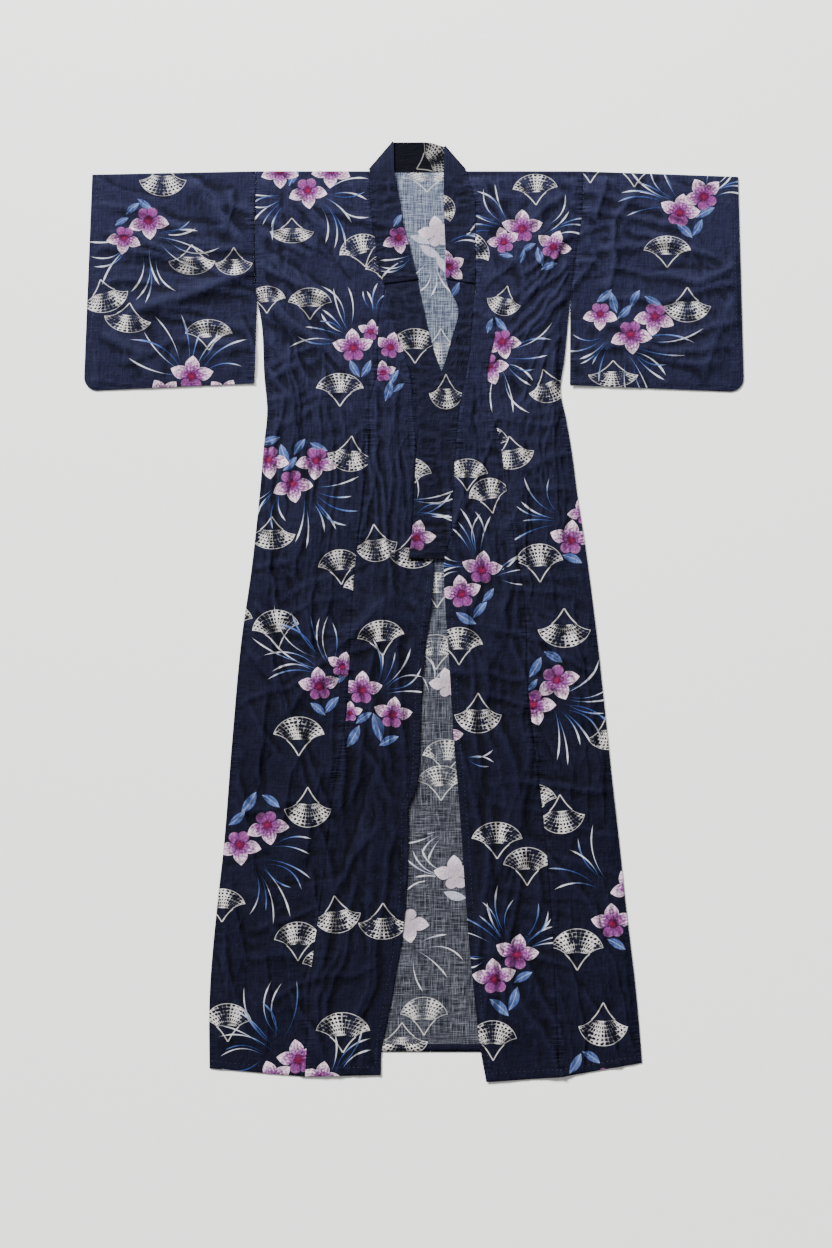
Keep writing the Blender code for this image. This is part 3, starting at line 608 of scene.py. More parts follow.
BACK_FANS = [Fan(*row) for row in (
    (427, 179, 0, 1.05, 0.75), (441, 346, 180, 0.85, 1), (437, 590, 0, 1, 1), (436, 652, 0, 1, 1),
    (446, 757, 0, 1, 1), (441, 783, 0, 1, 1), (424, 1016, 0, 1, 1.1), (402, 1040, 180, 1.1, 1),
)]
BACK_FLOWERS = [Flower(*row) for row in (
    (437, 231, 10, 0.95), (447, 682, 10, 0.9), (455, 872, 4, 1.05), (408, 926, 190, 1.05),
    (400, 480, 180, 1),
)]
BACK_LEAVES = [Leaf(*row) for row in (
    (420, 240, -20, 22), (430, 251, -30, 24), (441, 264, -60, 20), (455, 895, -15, 24),
)]
BACK_SPRAYS = [Spray(*row) for row in (
    (432, 258, 200, 330, 5, 34), (452, 880, 120, 200, 5, 40), (410, 945, -80, 20, 4, 40),
    (432, 700, 60, 120, 3, 36), (445, 830, 170, 250, 4, 34),
)]
HEM_FANS = [Fan(*row) for row in ((402, 1040, 180, 1.1, 1), (424, 1016, 0, 1, 1.1))]
COLLAR_FANS = [Fan(*row) for row in (
    (440, 210, -55, 0.65, 0.88), (415, 346, 0, 1, 1), (446, 392, 180, 0.72, 1),
    (408, 475, 0, 1, 1),
)]
NECK_FANS = [Fan(432, 161, -62, 0.95, 1)]
COLLAR_FLOWERS = [Flower(*row) for row in (
    (399, 241, 190, 0.82), (452, 266, -60, 0.82), (417, 535, -12, 0.94),
)]
COLLAR_LEAVES = [Leaf(*row) for row in ((398, 221, 55, 16), (455, 290, 60, 18),)]
COLLAR_SPRAYS = [Spray(*row) for row in (
    (418, 254, 183, 216, 4, 36), (442, 244, -8, 36, 5, 34), (398, 501, 2, 14, 2, 48),
    (408, 521, 22, 36, 2, 44), (411, 511, -18, -5, 3, 40), (415, 508, 78, 98, 1, 26),
)]


def piece_at(x, y):
    """The half and piece of the front that a place in the photo belongs to."""
    half = "right" if x < MIDDLE_X else "left"
    across, down = (x - MIDDLE_X) * PIXEL, max((y - SHOULDER_ROW) * PIXEL, 0.0)
    outward = across * OUTWARD[half]
    if down < 0.42 and outward > along(SIDES[half], down) * OUTWARD[half]:
        return half, "sleeve"
    gore = along(GORES[half], max(down, SWORD_POINT)) * OUTWARD[half]
    return half, ("gore" if down > SWORD_POINT and outward < gore else "body")


def turned(points, x, y, turn):
    """Photo offsets in a motif's own directions, with its up along +Y."""
    angle = math.radians(turn)
    off_x, off_y = points[..., 0] - x, y - points[..., 1]
    return (off_x * math.cos(angle) + off_y * math.sin(angle),
            -off_x * math.sin(angle) + off_y * math.cos(angle))


def toned(rows):
    """Each motif of a table, and a tone from 0 to 1 that differs from its neighbours'."""
    return [(row, number * 0.37 % 1) for number, row in enumerate(rows)]


class Paint:
    """Writes where each motif lies into layers of face corner values."""

    def __init__(self, sheet):
        self.sheet = sheet
        self.corners = corner_grid(sheet)
        across, down = sheet.across[self.corners], sheet.down[self.corners]
        self.points = np.stack([across / PIXEL + MIDDLE_X, down / PIXEL + SHOULDER_ROW], -1)
        self.layer = sheet.layer[self.corners].min(1)
        self.middle = self.points.mean(1)
        self.values = {}
        self.used = {}

    def open_layers(self, kind, count):
        shape = (count, len(self.corners), 4, 3)
        self.values[kind] = np.full(shape, 9.0, np.float32)
        self.used[kind] = np.zeros((count, len(self.corners)), bool)

    def near(self, x, y, reach, layer):
        off = np.abs(self.middle - (x, y)).max(1)
        return np.nonzero((off < reach) & (self.layer == layer))[0]

    def around(self, motif, reach, layer):
        """The faces near a motif, and their corners in the motif's own directions."""
        faces = self.near(motif.x, motif.y, reach, layer)
        return faces, *turned(self.points[faces], motif.x, motif.y, motif.turn)

    def put(self, kind, faces, u, v, tone, inside):
        """Give the faces that the motif reaches their place in it, in the first free layer."""
        hit = inside.any(1)
        faces, u, v = faces[hit], u[hit], v[hit]
        value = np.stack([u, v, np.broadcast_to(tone, u.shape)], -1)
        for number in range(len(self.used[kind])):
            free = ~self.used[kind][number][faces]
            self.values[kind][number, faces[free]] = value[free]
            self.used[kind][number, faces[free]] = True
            faces, value = faces[~free], value[~free]

    def fans(self, rows, layer):
        for fan, tone in toned(rows):
            faces, u, v = self.around(fan, FAN_RADIUS * 0.9, layer)
            u, v = u / (FAN_RADIUS * FAN_SPREAD * fan.wide), v / (FAN_RADIUS * fan.tall) + 0.5
            self.put("fan", faces, u, v, tone, np.hypot(u, v) < 1.1)

    def flowers(self, rows, layer):
        for flower, tone in toned(rows):
            radius = FLOWER_RADIUS * flower.size
            faces, u, v = self.around(flower, radius * 1.3, layer)
            u, v = u / radius, v / (radius * FLOWER_HEIGHT) + 0.17
            self.put("flower", faces, u, v, tone, np.hypot(u, v) < 1.15)

    def leaves(self, rows, layer):
        for number, (leaf, tone) in enumerate(toned(rows)):
            faces, u, v = self.around(leaf, leaf.length, layer)
            u, v = u / leaf.length + 0.5, v / (leaf.length * 0.2)
            v = v + 0.8 * u * (1 - u) * (1 if number % 2 else -1)
            inside = (u > -0.1) & (u < 1.1) & (np.abs(v) < 1.5)
            self.put("leaf", faces, u, v, tone, inside)

    def sprays(self, rows, layer):
        for number, spray in enumerate(rows):
            random = np.random.default_rng(100 + number)
            for blade in range(spray.count):
                share = (blade + random.uniform(0.1, 0.9)) / spray.count
                turn = spray.low + (spray.high - spray.low) * share
                length = spray.reach * random.uniform(0.65, 1.1)
                start = spray.reach * random.uniform(0.12, 0.35)
                x = spray.x + start * math.cos(math.radians(turn))
                y = spray.y - start * math.sin(math.radians(turn))
                outward = 1 if share > 0.5 else -1
                bend = random.uniform(0.05, 0.20) * random.choice([-1, 1, 1, 1]) * -outward
                width = random.uniform(0.8, 1.35)
                tone = random.uniform(0, 1)
                self.blade(x, y, turn, length, bend, width, tone, layer)

    def blade(self, x, y, turn, length, bend, width, tone, layer):
        angle = math.radians(turn)
        middle_x = x + length / 2 * math.cos(angle)
        middle_y = y - length / 2 * math.sin(angle)
        faces = self.near(middle_x, middle_y, length * 0.6 + 4, layer)
        u, v = turned(self.points[faces], x, y, turn)
        u, v = u / length, v / width
        v = v - bend * length / width * 4 * u * (1 - u)
        self.put("blade", faces, u, v, tone,
                 (u > -0.08) & (u < 1.08) & (np.abs(v) < 1 + 2.6 / width))

    def write(self):
        attributes = self.sheet.obj.data.attributes
        for kind, layers in self.values.items():
            for number, layer in enumerate(layers):
                made = attributes.new(f"{kind}_{number}", "FLOAT_VECTOR", "CORNER")
                made.data.foreach_set("vector", layer.reshape(-1))


def raised(height, reach=3, depth=0.0007):
    """How far each point stands over its surroundings: 1 on a ridge, -1 in a deep crease."""
    level = height
    for axis, size in enumerate(height.shape):
        steps = [np.clip(np.arange(size) + step, 0, size - 1)
                 for step in range(-reach, reach + 1)]
        level = sum(np.take(level, step, axis) for step in steps) / len(steps)
    return np.clip((height - level) / depth, -1, 1)


def write_weave(sheet, cut_across, cut_down, seams=(), painted_shade=None):
    """A UV map in metres along and across the threads, and three values for each point.

    near_seam is 1 at a seam and 0 from 3 cm away; the shade value is painted shade, 1 behind the
    neck where the cloth is painted darkest; ridge is 1 on a ridge and -1 in a crease.
    """
    corners = corner_grid(sheet).reshape(-1)
    weave = sheet.obj.data.uv_layers.new(name="weave")
    uv = np.stack([cut_across.reshape(-1)[corners], cut_down.reshape(-1)[corners]], -1)
    weave.data.foreach_set("uv", uv.astype(np.float32).reshape(-1))
    near = np.zeros(cut_across.size)
    for distance in seams:
        near = np.maximum(near, np.exp(-(distance.reshape(-1) / 0.012) ** 2))
    places = cut_down.reshape(-1)
    near *= 0.25 + 0.9 * smooth(0.4 + bumps(places / 0.06, places * 0, 17))
    numbers = point_grid(sheet)
    # The painted shade value for each point, none unless it is given.
    shade_values = np.zeros(near.shape) if painted_shade is None else painted_shade.reshape(-1)
    ridge = raised(sheet.height).reshape(-1) * (sheet.layer == FRONT)
    for name, values in (("near_seam", near), ("painted_shade", shade_values), ("ridge", ridge)):
        made = sheet.obj.data.attributes.new(name, "FLOAT", "POINT")
        made.data.foreach_set("value", values[numbers].astype(np.float32))


class Wire:
    """A value inside a material; working on it adds the node that does so."""

    def __init__(self, tree, socket):
        self.tree, self.socket = tree, socket

    def math(self, operation, *others):
        node = self.tree.nodes.new("ShaderNodeMath")
        node.operation = operation
        for slot, value in zip(node.inputs, (self, *others)):
            if isinstance(value, Wire):
                self.tree.links.new(value.socket, slot)
            else:
                slot.default_value = value
        return Wire(self.tree, node.outputs[0])

    def __add__(self, other):
        return self.math("ADD", other)

    def __sub__(self, other):
        return self.math("SUBTRACT", other)

    def __mul__(self, other):
        return self.math("MULTIPLY", other)

    def __truediv__(self, other):
        return self.math("DIVIDE", other)

    def flipped(self, whole=1.0):
        return (self * -1) + whole

    def size(self):
        return self.math("ABSOLUTE")

    def lower(self, other):
        return self.math("MINIMUM", other)

    def higher(self, other):
        return self.math("MAXIMUM", other)

    def step(self, start, end):
        """0 before start and 1 after end, softly, or the other way where end is lower."""
        node = self.tree.nodes.new("ShaderNodeMapRange")
        node.interpolation_type = "SMOOTHSTEP"
        low, high = min(start, end), max(start, end)
        results = (0.0, 1.0) if start < end else (1.0, 0.0)
        self.tree.links.new(self.socket, node.inputs["Value"])
        for name, value in (("From Min", low), ("From Max", high),
                            ("To Min", results[0]), ("To Max", results[1])):
            node.inputs[name].default_value = value
        return Wire(self.tree, node.outputs[0])


def mix(share, a, b):
    """Blend two colours; either may be a wire or plain red, green and blue."""
    node = share.tree.nodes.new("ShaderNodeMix")
    node.data_type = "RGBA"
    share.tree.links.new(share.socket, node.inputs["Factor"])
    for slot, value in ((node.inputs[6], a), (node.inputs[7], b)):
        if isinstance(value, Wire):
            share.tree.links.new(value.socket, slot)
        else:
            slot.default_value = (*value, 1.0)
    return Wire(share.tree, node.outputs[2])


def parts_of(tree, socket):
    node = tree.nodes.new("ShaderNodeSeparateXYZ")
    tree.links.new(socket, node.inputs[0])
    return [Wire(tree, output) for output in node.outputs]


def noise(tree, socket, stretch=(1, 1, 1), detail=2.0, roughness=0.5, scale=1.0):
    mapping = tree.nodes.new("ShaderNodeMapping")
    mapping.inputs["Scale"].default_value = stretch
    tree.links.new(socket, mapping.inputs["Vector"])
    node = tree.nodes.new("ShaderNodeTexNoise")
    node.inputs["Scale"].default_value = scale
    node.inputs["Detail"].default_value = detail
    node.inputs["Roughness"].default_value = roughness
    tree.links.new(mapping.outputs[0], node.inputs["Vector"])
    return Wire(tree, node.outputs["Fac"])


VECTOR, VALUE, COLOUR = "NodeSocketVector", "NodeSocketFloat", "NodeSocketColor"
GROUPS = {}
LAYERS = {"fan": 2, "blade": 3, "leaf": 2, "flower": 2}  # how many may lie over each other


def new_material(name):
    material = bpy.data.materials.new(name)
    material.use_nodes = True
    tree = material.node_tree
    return material, tree, tree.nodes["Principled BSDF"]


def new_group(name, inputs, outputs):
    tree = bpy.data.node_groups.new(name, "ShaderNodeTree")
    for label, kind in inputs:
        tree.interface.new_socket(label, in_out="INPUT", socket_type=kind)
    for label, kind in outputs:
        tree.interface.new_socket(label, in_out="OUTPUT", socket_type=kind)
    return tree, tree.nodes.new("NodeGroupInput"), tree.nodes.new("NodeGroupOutput")


def give(tree, out, **values):
    """Send a group's values out of it, by their names."""
    for label, value in values.items():
        tree.links.new(value.socket, out.inputs[label])
    return tree


WHITE_INK = (0.50, 0.48, 0.46)


def fan_group():
    """A spread paper fan, dyed in rows of small tied dots, with its ribs below."""
    tree, entry, out = new_group("paper fan", [("Place", VECTOR)],
                                 [("Mask", VALUE), ("Ink", VALUE)])
    x, y, tone = parts_of(tree, entry.outputs[0])
    radius = (x * x + y * y).math("SQRT")
    angle = x.math("ARCTAN2", y)
    turn = angle.size()
    half = radius * radius * 0.53 + 0.50
    top = (turn * turn) * -0.263 + 1.0
    side = (half - turn) * radius
    inner = radius - turn * turn * 0.16 - 0.41
    inside = (top - radius).lower(side).lower(inner)
    leaf = inside.step(0.0, 0.015)
    rim = (top - radius).lower(side).step(0.030, 0.014) * leaf
    grain = noise(tree, entry.outputs[0], scale=9.0)
    wobble = noise(tree, entry.outputs[0], scale=16.0)
    streak = (angle * 7.5 + tone * 6.0 + grain * 2.0).math("SINE")
    column = angle / half * 7.5 + wobble * 0.5
    row = radius / 0.092 + wobble * 0.5
    across_dot = (column.math("FRACT") - 0.5).size()
    along_dot = (row.math("FRACT") - 0.5).size()
    dot = (across_dot.math("POWER", 4.0) + along_dot.math("POWER", 4.0)).math("POWER", 0.25)
    room = streak * 0.12 + (grain - 0.5) * 0.6 + 0.40
    dark = (room - dot).step(-0.07, 0.07)
    ribs = (half - turn).size() * radius
    ribs = ribs.step(0.020, 0.007) * inner.step(0.02, 0.0) * radius.step(0.0, 0.02)
    hole = inner.step(0.0, -0.015) * (half - turn).step(0.0, 0.02)
    net = dark.flipped() * leaf * (grain * 0.8 + 0.24 - streak * 0.34)
    ink = (rim * 0.8).higher(net).higher(ribs * 0.8)
    mask = leaf.higher(ribs).higher(hole)
    return give(tree, out, Mask=mask, Ink=ink)


def flower_group():
    """A bellflower of five pointed petals, the two lower ones turned away."""
    tree, entry, out = new_group("bellflower", [("Place", VECTOR)],
                                 [("Mask", VALUE), ("Colour", COLOUR)])
    x, y, tone = parts_of(tree, entry.outputs[0])
    radius = (x * x + y * y).math("SQRT")
    angle = x.math("ARCTAN2", y)
    fifth = math.radians(72)
    folded = ((angle / fifth + 10.5).math("FRACT") - 0.5).size() * fifth
    reach = radius * folded.math("COSINE")
    aside = radius * folded.math("SINE")
    upper = (y + x.size() * 0.325).step(-0.02, 0.0)
    lobe_x, lobe_y = x.size() - 0.20, y + 0.36
    lobe = (lobe_x * lobe_x + lobe_y * lobe_y).math("SQRT").flipped(0.27)
    below = upper.flipped()
    edge = (reach * reach.flipped() * 1.34 - aside + upper - 1.0).higher(lobe * below + upper * -1)
    petal = edge.step(0.0, 0.03).higher(radius.step(0.20, 0.17))
    notch = folded.step(math.radians(27), math.radians(35)) * radius.step(0.62, 0.45)
    vein = (aside * 42.0).math("COSINE") * 0.12
    mottle = noise(tree, entry.outputs[0], detail=3.0, scale=11.0)
    speck = noise(tree, entry.outputs[0], scale=26.0)
    reach_tone = radius + (mottle - 0.5) * 1.3 + vein * 0.6 + tone * 0.1
    colour = mix(reach_tone.step(0.10, 0.50), (0.070, 0.006, 0.048), (0.155, 0.045, 0.160))
    colour = mix(reach_tone.step(0.45, 1.02), colour, (0.64, 0.50, 0.58))
    colour = mix(below * radius.step(0.20, 0.36) * 0.80, colour, (0.125, 0.022, 0.115))
    colour = mix(speck.step(0.54, 0.68) * 0.50, colour, (0.10, 0.018, 0.10))
    colour = mix(notch * 0.8, colour, (0.05, 0.012, 0.08))
    colour = mix(edge.step(0.06, 0.02) * upper * 0.35, colour, (0.60, 0.48, 0.55))
    heart = radius + (mottle - 0.5) * 0.25
    colour = mix(heart.step(0.30, 0.15) * 0.9, colour, (0.062, 0.002, 0.026))
    colour = mix(heart.step(0.13, 0.05) * 0.80, colour, (0.145, 0.004, 0.026))
    return give(tree, out, Mask=petal, Colour=colour)


def leaf_group():
    """A small pointed leaf with a pale rib and paler patches."""
    tree, entry, out = new_group("leaf", [("Place", VECTOR), ("Grain", VALUE)],
                                 [("Mask", VALUE), ("Colour", COLOUR)])
    along_leaf, aside = parts_of(tree, entry.outputs[0])[:2]
    grain = Wire(tree, entry.outputs[1])
    lens = along_leaf * along_leaf.flipped() * 4.0
    mask = (lens - aside.size()).step(0.0, 0.12)
    shade = along_leaf * 0.6 + grain * 0.8 - 0.35
    colour = mix(shade.step(0.0, 1.0), (0.012, 0.022, 0.095), (0.080, 0.125, 0.29))
    patch = noise(tree, entry.outputs[0], detail=3.0, scale=4.0)
    colour = mix(patch.step(0.45, 0.65) * 0.35, colour, (0.13, 0.18, 0.35))
    colour = mix(aside.size().step(0.13, 0.04) * 0.45, colour, (0.25, 0.31, 0.45))
    return give(tree, out, Mask=mask, Colour=colour)


def blade_group():
    """A blade of grass, thin at its root, blue, and turning white towards its tip."""
    tree, entry, out = new_group("blade of grass", [("Place", VECTOR)],
                                 [("Mask", VALUE), ("Colour", COLOUR)])
    along_blade, aside, tone = parts_of(tree, entry.outputs[0])
    width = (along_blade * 0.95 + 0.10).lower(along_blade.flipped() * 5.0)
    mask = (width - aside.size()).step(0.0, 0.25) * along_blade.step(0.0, 0.03)
    pale = along_blade + tone * 0.9 - 0.55
    colour = mix(pale.step(0.0, 0.7), (0.018, 0.040, 0.15), (0.10, 0.16, 0.34))
    colour = mix(pale.step(0.35, 0.75), colour, (0.42, 0.43, 0.47))
    return give(tree, out, Mask=mask, Colour=colour)


def attribute(tree, name):
    node = tree.nodes.new("ShaderNodeAttribute")
    node.attribute_name = name
    return node.outputs


def motif(tree, kind, number, grain):
    """Mask and ink of the motifs in one layer of face corner values."""
    node = tree.nodes.new("ShaderNodeGroup")
    node.node_tree = GROUPS[kind]
    tree.links.new(attribute(tree, f"{kind}_{number}")["Vector"], node.inputs["Place"])
    if "Grain" in node.inputs:
        tree.links.new(grain.socket, node.inputs["Grain"])
    return Wire(tree, node.outputs[0]), Wire(tree, node.outputs[1])


def point_value(tree, name):
    return Wire(tree, attribute(tree, name)["Fac"])


def thin_lines(pattern, sharpness):
    """Lines, from 0 to 1, along which a noise passes through its middle value."""
    return ((pattern - 0.5).size() * -sharpness + 1.0).higher(0.0)


def cloth_bump(tree, shader, threads, cross):
    """Threads, fine crinkles and the ladder of small puckers beside the seams, in metres."""
    crinkle = noise(tree, threads, (75, 26, 1), 3.0)
    crinkle = thin_lines(crinkle, 9.0)
    diagonal = noise(tree, threads, (40, 34, 1))
    diagonal = thin_lines(diagonal, 10.0)
    ladder = noise(tree, threads, (24, 170, 1))
    ladder = (ladder - 0.5) * point_value(tree, "near_seam")
    height = cross * 0.0003 + crinkle * 0.0004 + diagonal * 0.0004 + ladder * 0.0040
    bump = tree.nodes.new("ShaderNodeBump")
    bump.inputs["Strength"].default_value = 1.0
    bump.inputs["Distance"].default_value = 1.0
    tree.links.new(height.socket, bump.inputs["Height"])
    tree.links.new(bump.outputs[0], shader.inputs["Normal"])


def printed_cotton(name, wrong_side=False):
    """Slub cotton with its print, painted lighter towards the shoulders where more light falls,
    lighter on its ridges from rubbing and a painted highlight, and painted darker in its creases
    and behind the neck as shade.

    The wrong side is paler and greyer, with the print showing through.
    """
    material, tree, shader = new_material(name)
    weave = tree.nodes.new("ShaderNodeUVMap")
    weave.uv_map = "weave"
    threads = weave.outputs[0]
    warp = noise(tree, threads, (520, 26, 1), 3.0, 0.65)
    weft = noise(tree, threads, (30, 560, 1), 3.0, 0.65)
    blotch = noise(tree, threads, (9, 5, 1), 3.0)
    place = tree.nodes.new("ShaderNodeTexCoord")
    # kept carries the painted shade: 1 behind the neck, a little over the whole collar, 0
    # elsewhere.
    kept = point_value(tree, "painted_shade")
    ridge = point_value(tree, "ridge")
    # Painted light: the cloth is painted lighter towards the top of the robe, where more light
    # falls, and not where the painted shade lies.
    painted_top_light = parts_of(tree, place.outputs["Object"])[1].step(-0.35, 1.0) * kept.flipped()
    slub = warp.higher(weft)
    cross = warp * 0.5 + weft * 0.5
    if wrong_side:
        deep = mix(painted_top_light, (0.0045, 0.005, 0.009), (0.022, 0.028, 0.052))
        pale = mix(painted_top_light, (0.060, 0.063, 0.078), (0.19, 0.22, 0.29))
        colour = mix(cross.step(0.40, 0.62), deep, pale)
        colour = mix(slub.step(0.58, 0.76) * 0.5, colour, (0.20, 0.21, 0.24))
    else:
        deep = mix(painted_top_light, (0.0013, 0.0014, 0.0048), (0.0053, 0.0056, 0.0165))
        pale = mix(painted_top_light, (0.0042, 0.0045, 0.0150), (0.0140, 0.0152, 0.0410))
        colour = mix(cross.step(0.38, 0.66) * 0.8 + blotch * 0.2, deep, pale)
        colour = mix(slub.step(0.68, 0.88) * 0.15, colour, (0.04, 0.045, 0.08))
        # Ridges painted lighter: partly rubbed wear, partly a painted highlight where the light
        # catches them.
        rubbed_and_highlit = mix(painted_top_light, (0.016, 0.017, 0.048), (0.045, 0.050, 0.105))
        colour = mix(ridge.step(0.1, 1.0) * 0.12, colour, rubbed_and_highlit)
    plain, show = colour, (0.88 if wrong_side else 0.97)
    for kind, layers in LAYERS.items():
        for number in range(layers):
            mask, ink = motif(tree, kind, number, warp)
            if kind == "fan":
                base = mix(mask * show, colour, plain)
                colour = mix(ink * mask * (cross * 0.7 + 0.62) * show, base, WHITE_INK)
            else:
                if wrong_side:
                    ink = mix(mask * 0.55, ink, (0.52, 0.49, 0.51))
                colour = mix(mask * show * (cross.step(0.22, 0.45) * 0.3 + 0.7), colour, ink)
    if wrong_side:
        colour = mix(slub.step(0.5, 0.8) * 0.25, colour, (0.20, 0.21, 0.24))
    # Painted shade: the cloth is painted darker towards black behind the neck, where it lies in
    # shade, and a little darker over the whole collar.
    colour = mix(kept * 0.60, colour, (0.0, 0.0, 0.0))
    # Painted shade: the cloth and its print are painted darker in the creases, where shade falls.
    colour = mix((ridge * -1.0).step(0.10, 1.0) * 0.60, colour, (0.0, 0.0, 0.0))
    tree.links.new(colour.socket, shader.inputs["Base Color"])
    shader.inputs["Roughness"].default_value = 0.85
    shader.inputs["Specular IOR Level"].default_value = 0.07
    shader.inputs["Sheen Weight"].default_value = 0.010
    shader.inputs["Sheen Roughness"].default_value = 0.5
    shader.inputs["Sheen Tint"].default_value = (0.75, 0.80, 1.0, 1.0)
    cloth_bump(tree, shader, threads, cross)
    return material


def finish_sheet(sheet, under=None):
    """Give a sheet its two sides and its thickness."""
    obj = sheet.obj
    obj.data.materials.append(MATERIALS["right side"])
    obj.data.materials.append(MATERIALS["wrong side" if under is None else under])
    solidify = obj.modifiers.new("thickness", "SOLIDIFY")
    solidify.thickness = THREAD
    solidify.offset = -1
    solidify.material_offset = 1
    solidify.material_offset_rim = 0


def print_on(sheet, sets, piece=None):
    paint = Paint(sheet)
    for kind, count in LAYERS.items():
        paint.open_layers(kind, count)
    for layer, tables in sets.items():
        if piece and layer == FRONT:
            tables = [[row for row in table if piece_at(row.x, row.y) == piece]
                      for table in tables]
            tables[0] = CUT_FANS.get(piece, []) + tables[0]
        fans, flowers, leaves, sprays = tables
        paint.fans(fans, layer)
        paint.flowers(flowers, layer)
        paint.leaves(leaves, layer)
        paint.sprays(sprays, layer)
    paint.write()


FRONT_PRINT = (FRONT_FANS, FRONT_FLOWERS, FRONT_LEAVES, FRONT_SPRAYS)
BACK_PRINT = (BACK_FANS, BACK_FLOWERS, BACK_LEAVES, BACK_SPRAYS)
HEM_PRINT = (HEM_FANS, [], [], [])
NECK_PRINT = (NECK_FANS, [], [], [])
COLLAR_PRINT = (COLLAR_FANS, COLLAR_FLOWERS, COLLAR_LEAVES, COLLAR_SPRAYS)


def fold_rows(columns_across, columns_down, angles=(-60, -30, 0, 30, 60)):
    """Across, down and height of the rows round the fold at the top of a piece."""
    middle, radius = CLOTH + GAP / 2, CLOTH + GAP / 2
    rows = []
    for angle in np.radians(angles):
        rows.append((columns_across, columns_down - radius * math.cos(angle),
                     np.full_like(columns_across, middle + radius * math.sin(angle))))
    return rows


def stack(rows):
    """Three arrays, across, down and height, from rows of them."""
    return [np.array([row[part] for row in rows]) for part in range(3)]


def inner_edge(half, down):
    """Where a body length's front ends, at the collar and below it at the gore."""
    neck = rung_at(RUNGS[half], np.clip(down, 0, SWORD_POINT))[0]
    gore = along(GORES[half], np.maximum(down, SWORD_POINT))
    return np.where(down < SWORD_POINT, neck, gore)


def add_body(half):
    """A body length: back and front in one, folded over the shoulder and slit for the neck."""
    seam = OUTWARD[half] * GAP / 2
    front_shares = spaced(WIDTHS["body"], ACROSS)
    turn = len(front_shares) - 1
    neck_shares = spaced(WIDTHS["neck"], COARSE / 2)[1:]
    neck = float(inner_edge(half, np.array([0.0]))[0])
    top_outer, top_inner = SIDES[half][0].across, CENTRE_BACK[0].across
    split = (neck - top_outer) / (top_inner - top_outer)
    rows = []
    turned_up = [BACK_HEM - rise for rise in (TURNED_UP + 0.0005, TURNED_UP, TURNED_UP / 2, 0)]
    backs = np.concatenate([turned_up, np.linspace(BACK_HEM, BACK_HEM - 0.02, 6),
                            np.arange(BACK_HEM - 0.02 - COARSE, 0.03, -COARSE),
                            np.linspace(0.03, 0, 7)])
    for number, down in enumerate(backs):
        outer, inner = along(SIDES[half], down) - seam, along(CENTRE_BACK, down) + seam
        point = outer + (inner - outer) * split
        point = neck + seam if down == 0 else point + (neck + seam - point) * math.exp(-down / 0.05)
        across = np.concatenate([outer + (point - outer) * front_shares,
                                 point + (inner - point) * neck_shares])
        downs = np.full_like(across, down)
        wave = 0.0006 * bumps(across / 0.05, downs / 0.08, 11) + 0.0003 * crests(
            across / 0.02, downs / 0.05, 12)
        height = THREAD + np.clip(wave, 0, CLOTH - THREAD)
        seam_dip = np.exp(-((across - inner) / 0.0022) ** 2)
        height = height - seam_dip * (height - THREAD * 0.75)
        if number < len(turned_up):
            height = np.full_like(across, CLOTH + THREAD * (0.4 if number == 0 else 1.1))
        rows.append((across, downs, height))
    back_count = len(rows)
    top = rows[-1][0]
    rows += fold_rows(top, np.zeros_like(top))
    front = len(rows)
    hem_side, hem_gore = HEMS[half][:2]
    shares = spaced(LENGTHS["body"], DOWN)
    inners = inner_edge(half, shares * hem_gore) + seam
    outers = along(SIDES[half], shares * hem_side) - seam
    for share, outer, inner in zip(shares, outers, inners):
        across = outer + (inner - outer) * front_shares
        downs = share * (hem_side + (hem_gore - hem_side) * front_shares)
        extra = np.zeros(len(neck_shares))
        rows.append((np.concatenate([across, extra + across[-1]]),
                     np.concatenate([downs, extra + downs[-1]]), np.zeros(len(top))))
    across, down, height = stack(rows)
    shown = across[front:], down[front:]
    from_outer = np.abs(shown[0] - outers[:, None])
    dips = tuck(np.abs(shown[0] - inners[:, None])) + tuck(from_outer) * (shown[1] < ARMHOLE)
    dips += tuck((1 - shares[:, None]) * hem_side)
    height[front:] = front_relief(half, *shown) + CLOTH + dips
    layer = np.full(across.shape, FRONT)
    layer[:back_count] = BACK
    layer[:len(turned_up)] = HEM
    keep = np.ones((len(rows) - 1, across.shape[1] - 1), bool)
    keep[back_count - 1:, turn:] = False
    sheet = make_sheet(f"{half}_body_cloth", "body_" + half, across, down, height, layer, keep,
                       right_side_up=half == "left")
    seams = [np.abs(across - inner_edge(half, down)) + (layer == BACK),
             np.abs(across - along(SIDES[half], down)) + (down < 0.01)]
    write_weave(sheet, across, np.where(layer == BACK, -down, down), seams)
    print_on(sheet, {BACK: BACK_PRINT, FRONT: FRONT_PRINT, HEM: HEM_PRINT}, (half, "body"))
    finish_sheet(sheet)
    add_stitches(f"{half}_body_stitches", [grid_points(sheet)[HEM_LINE, :turn + 1]])


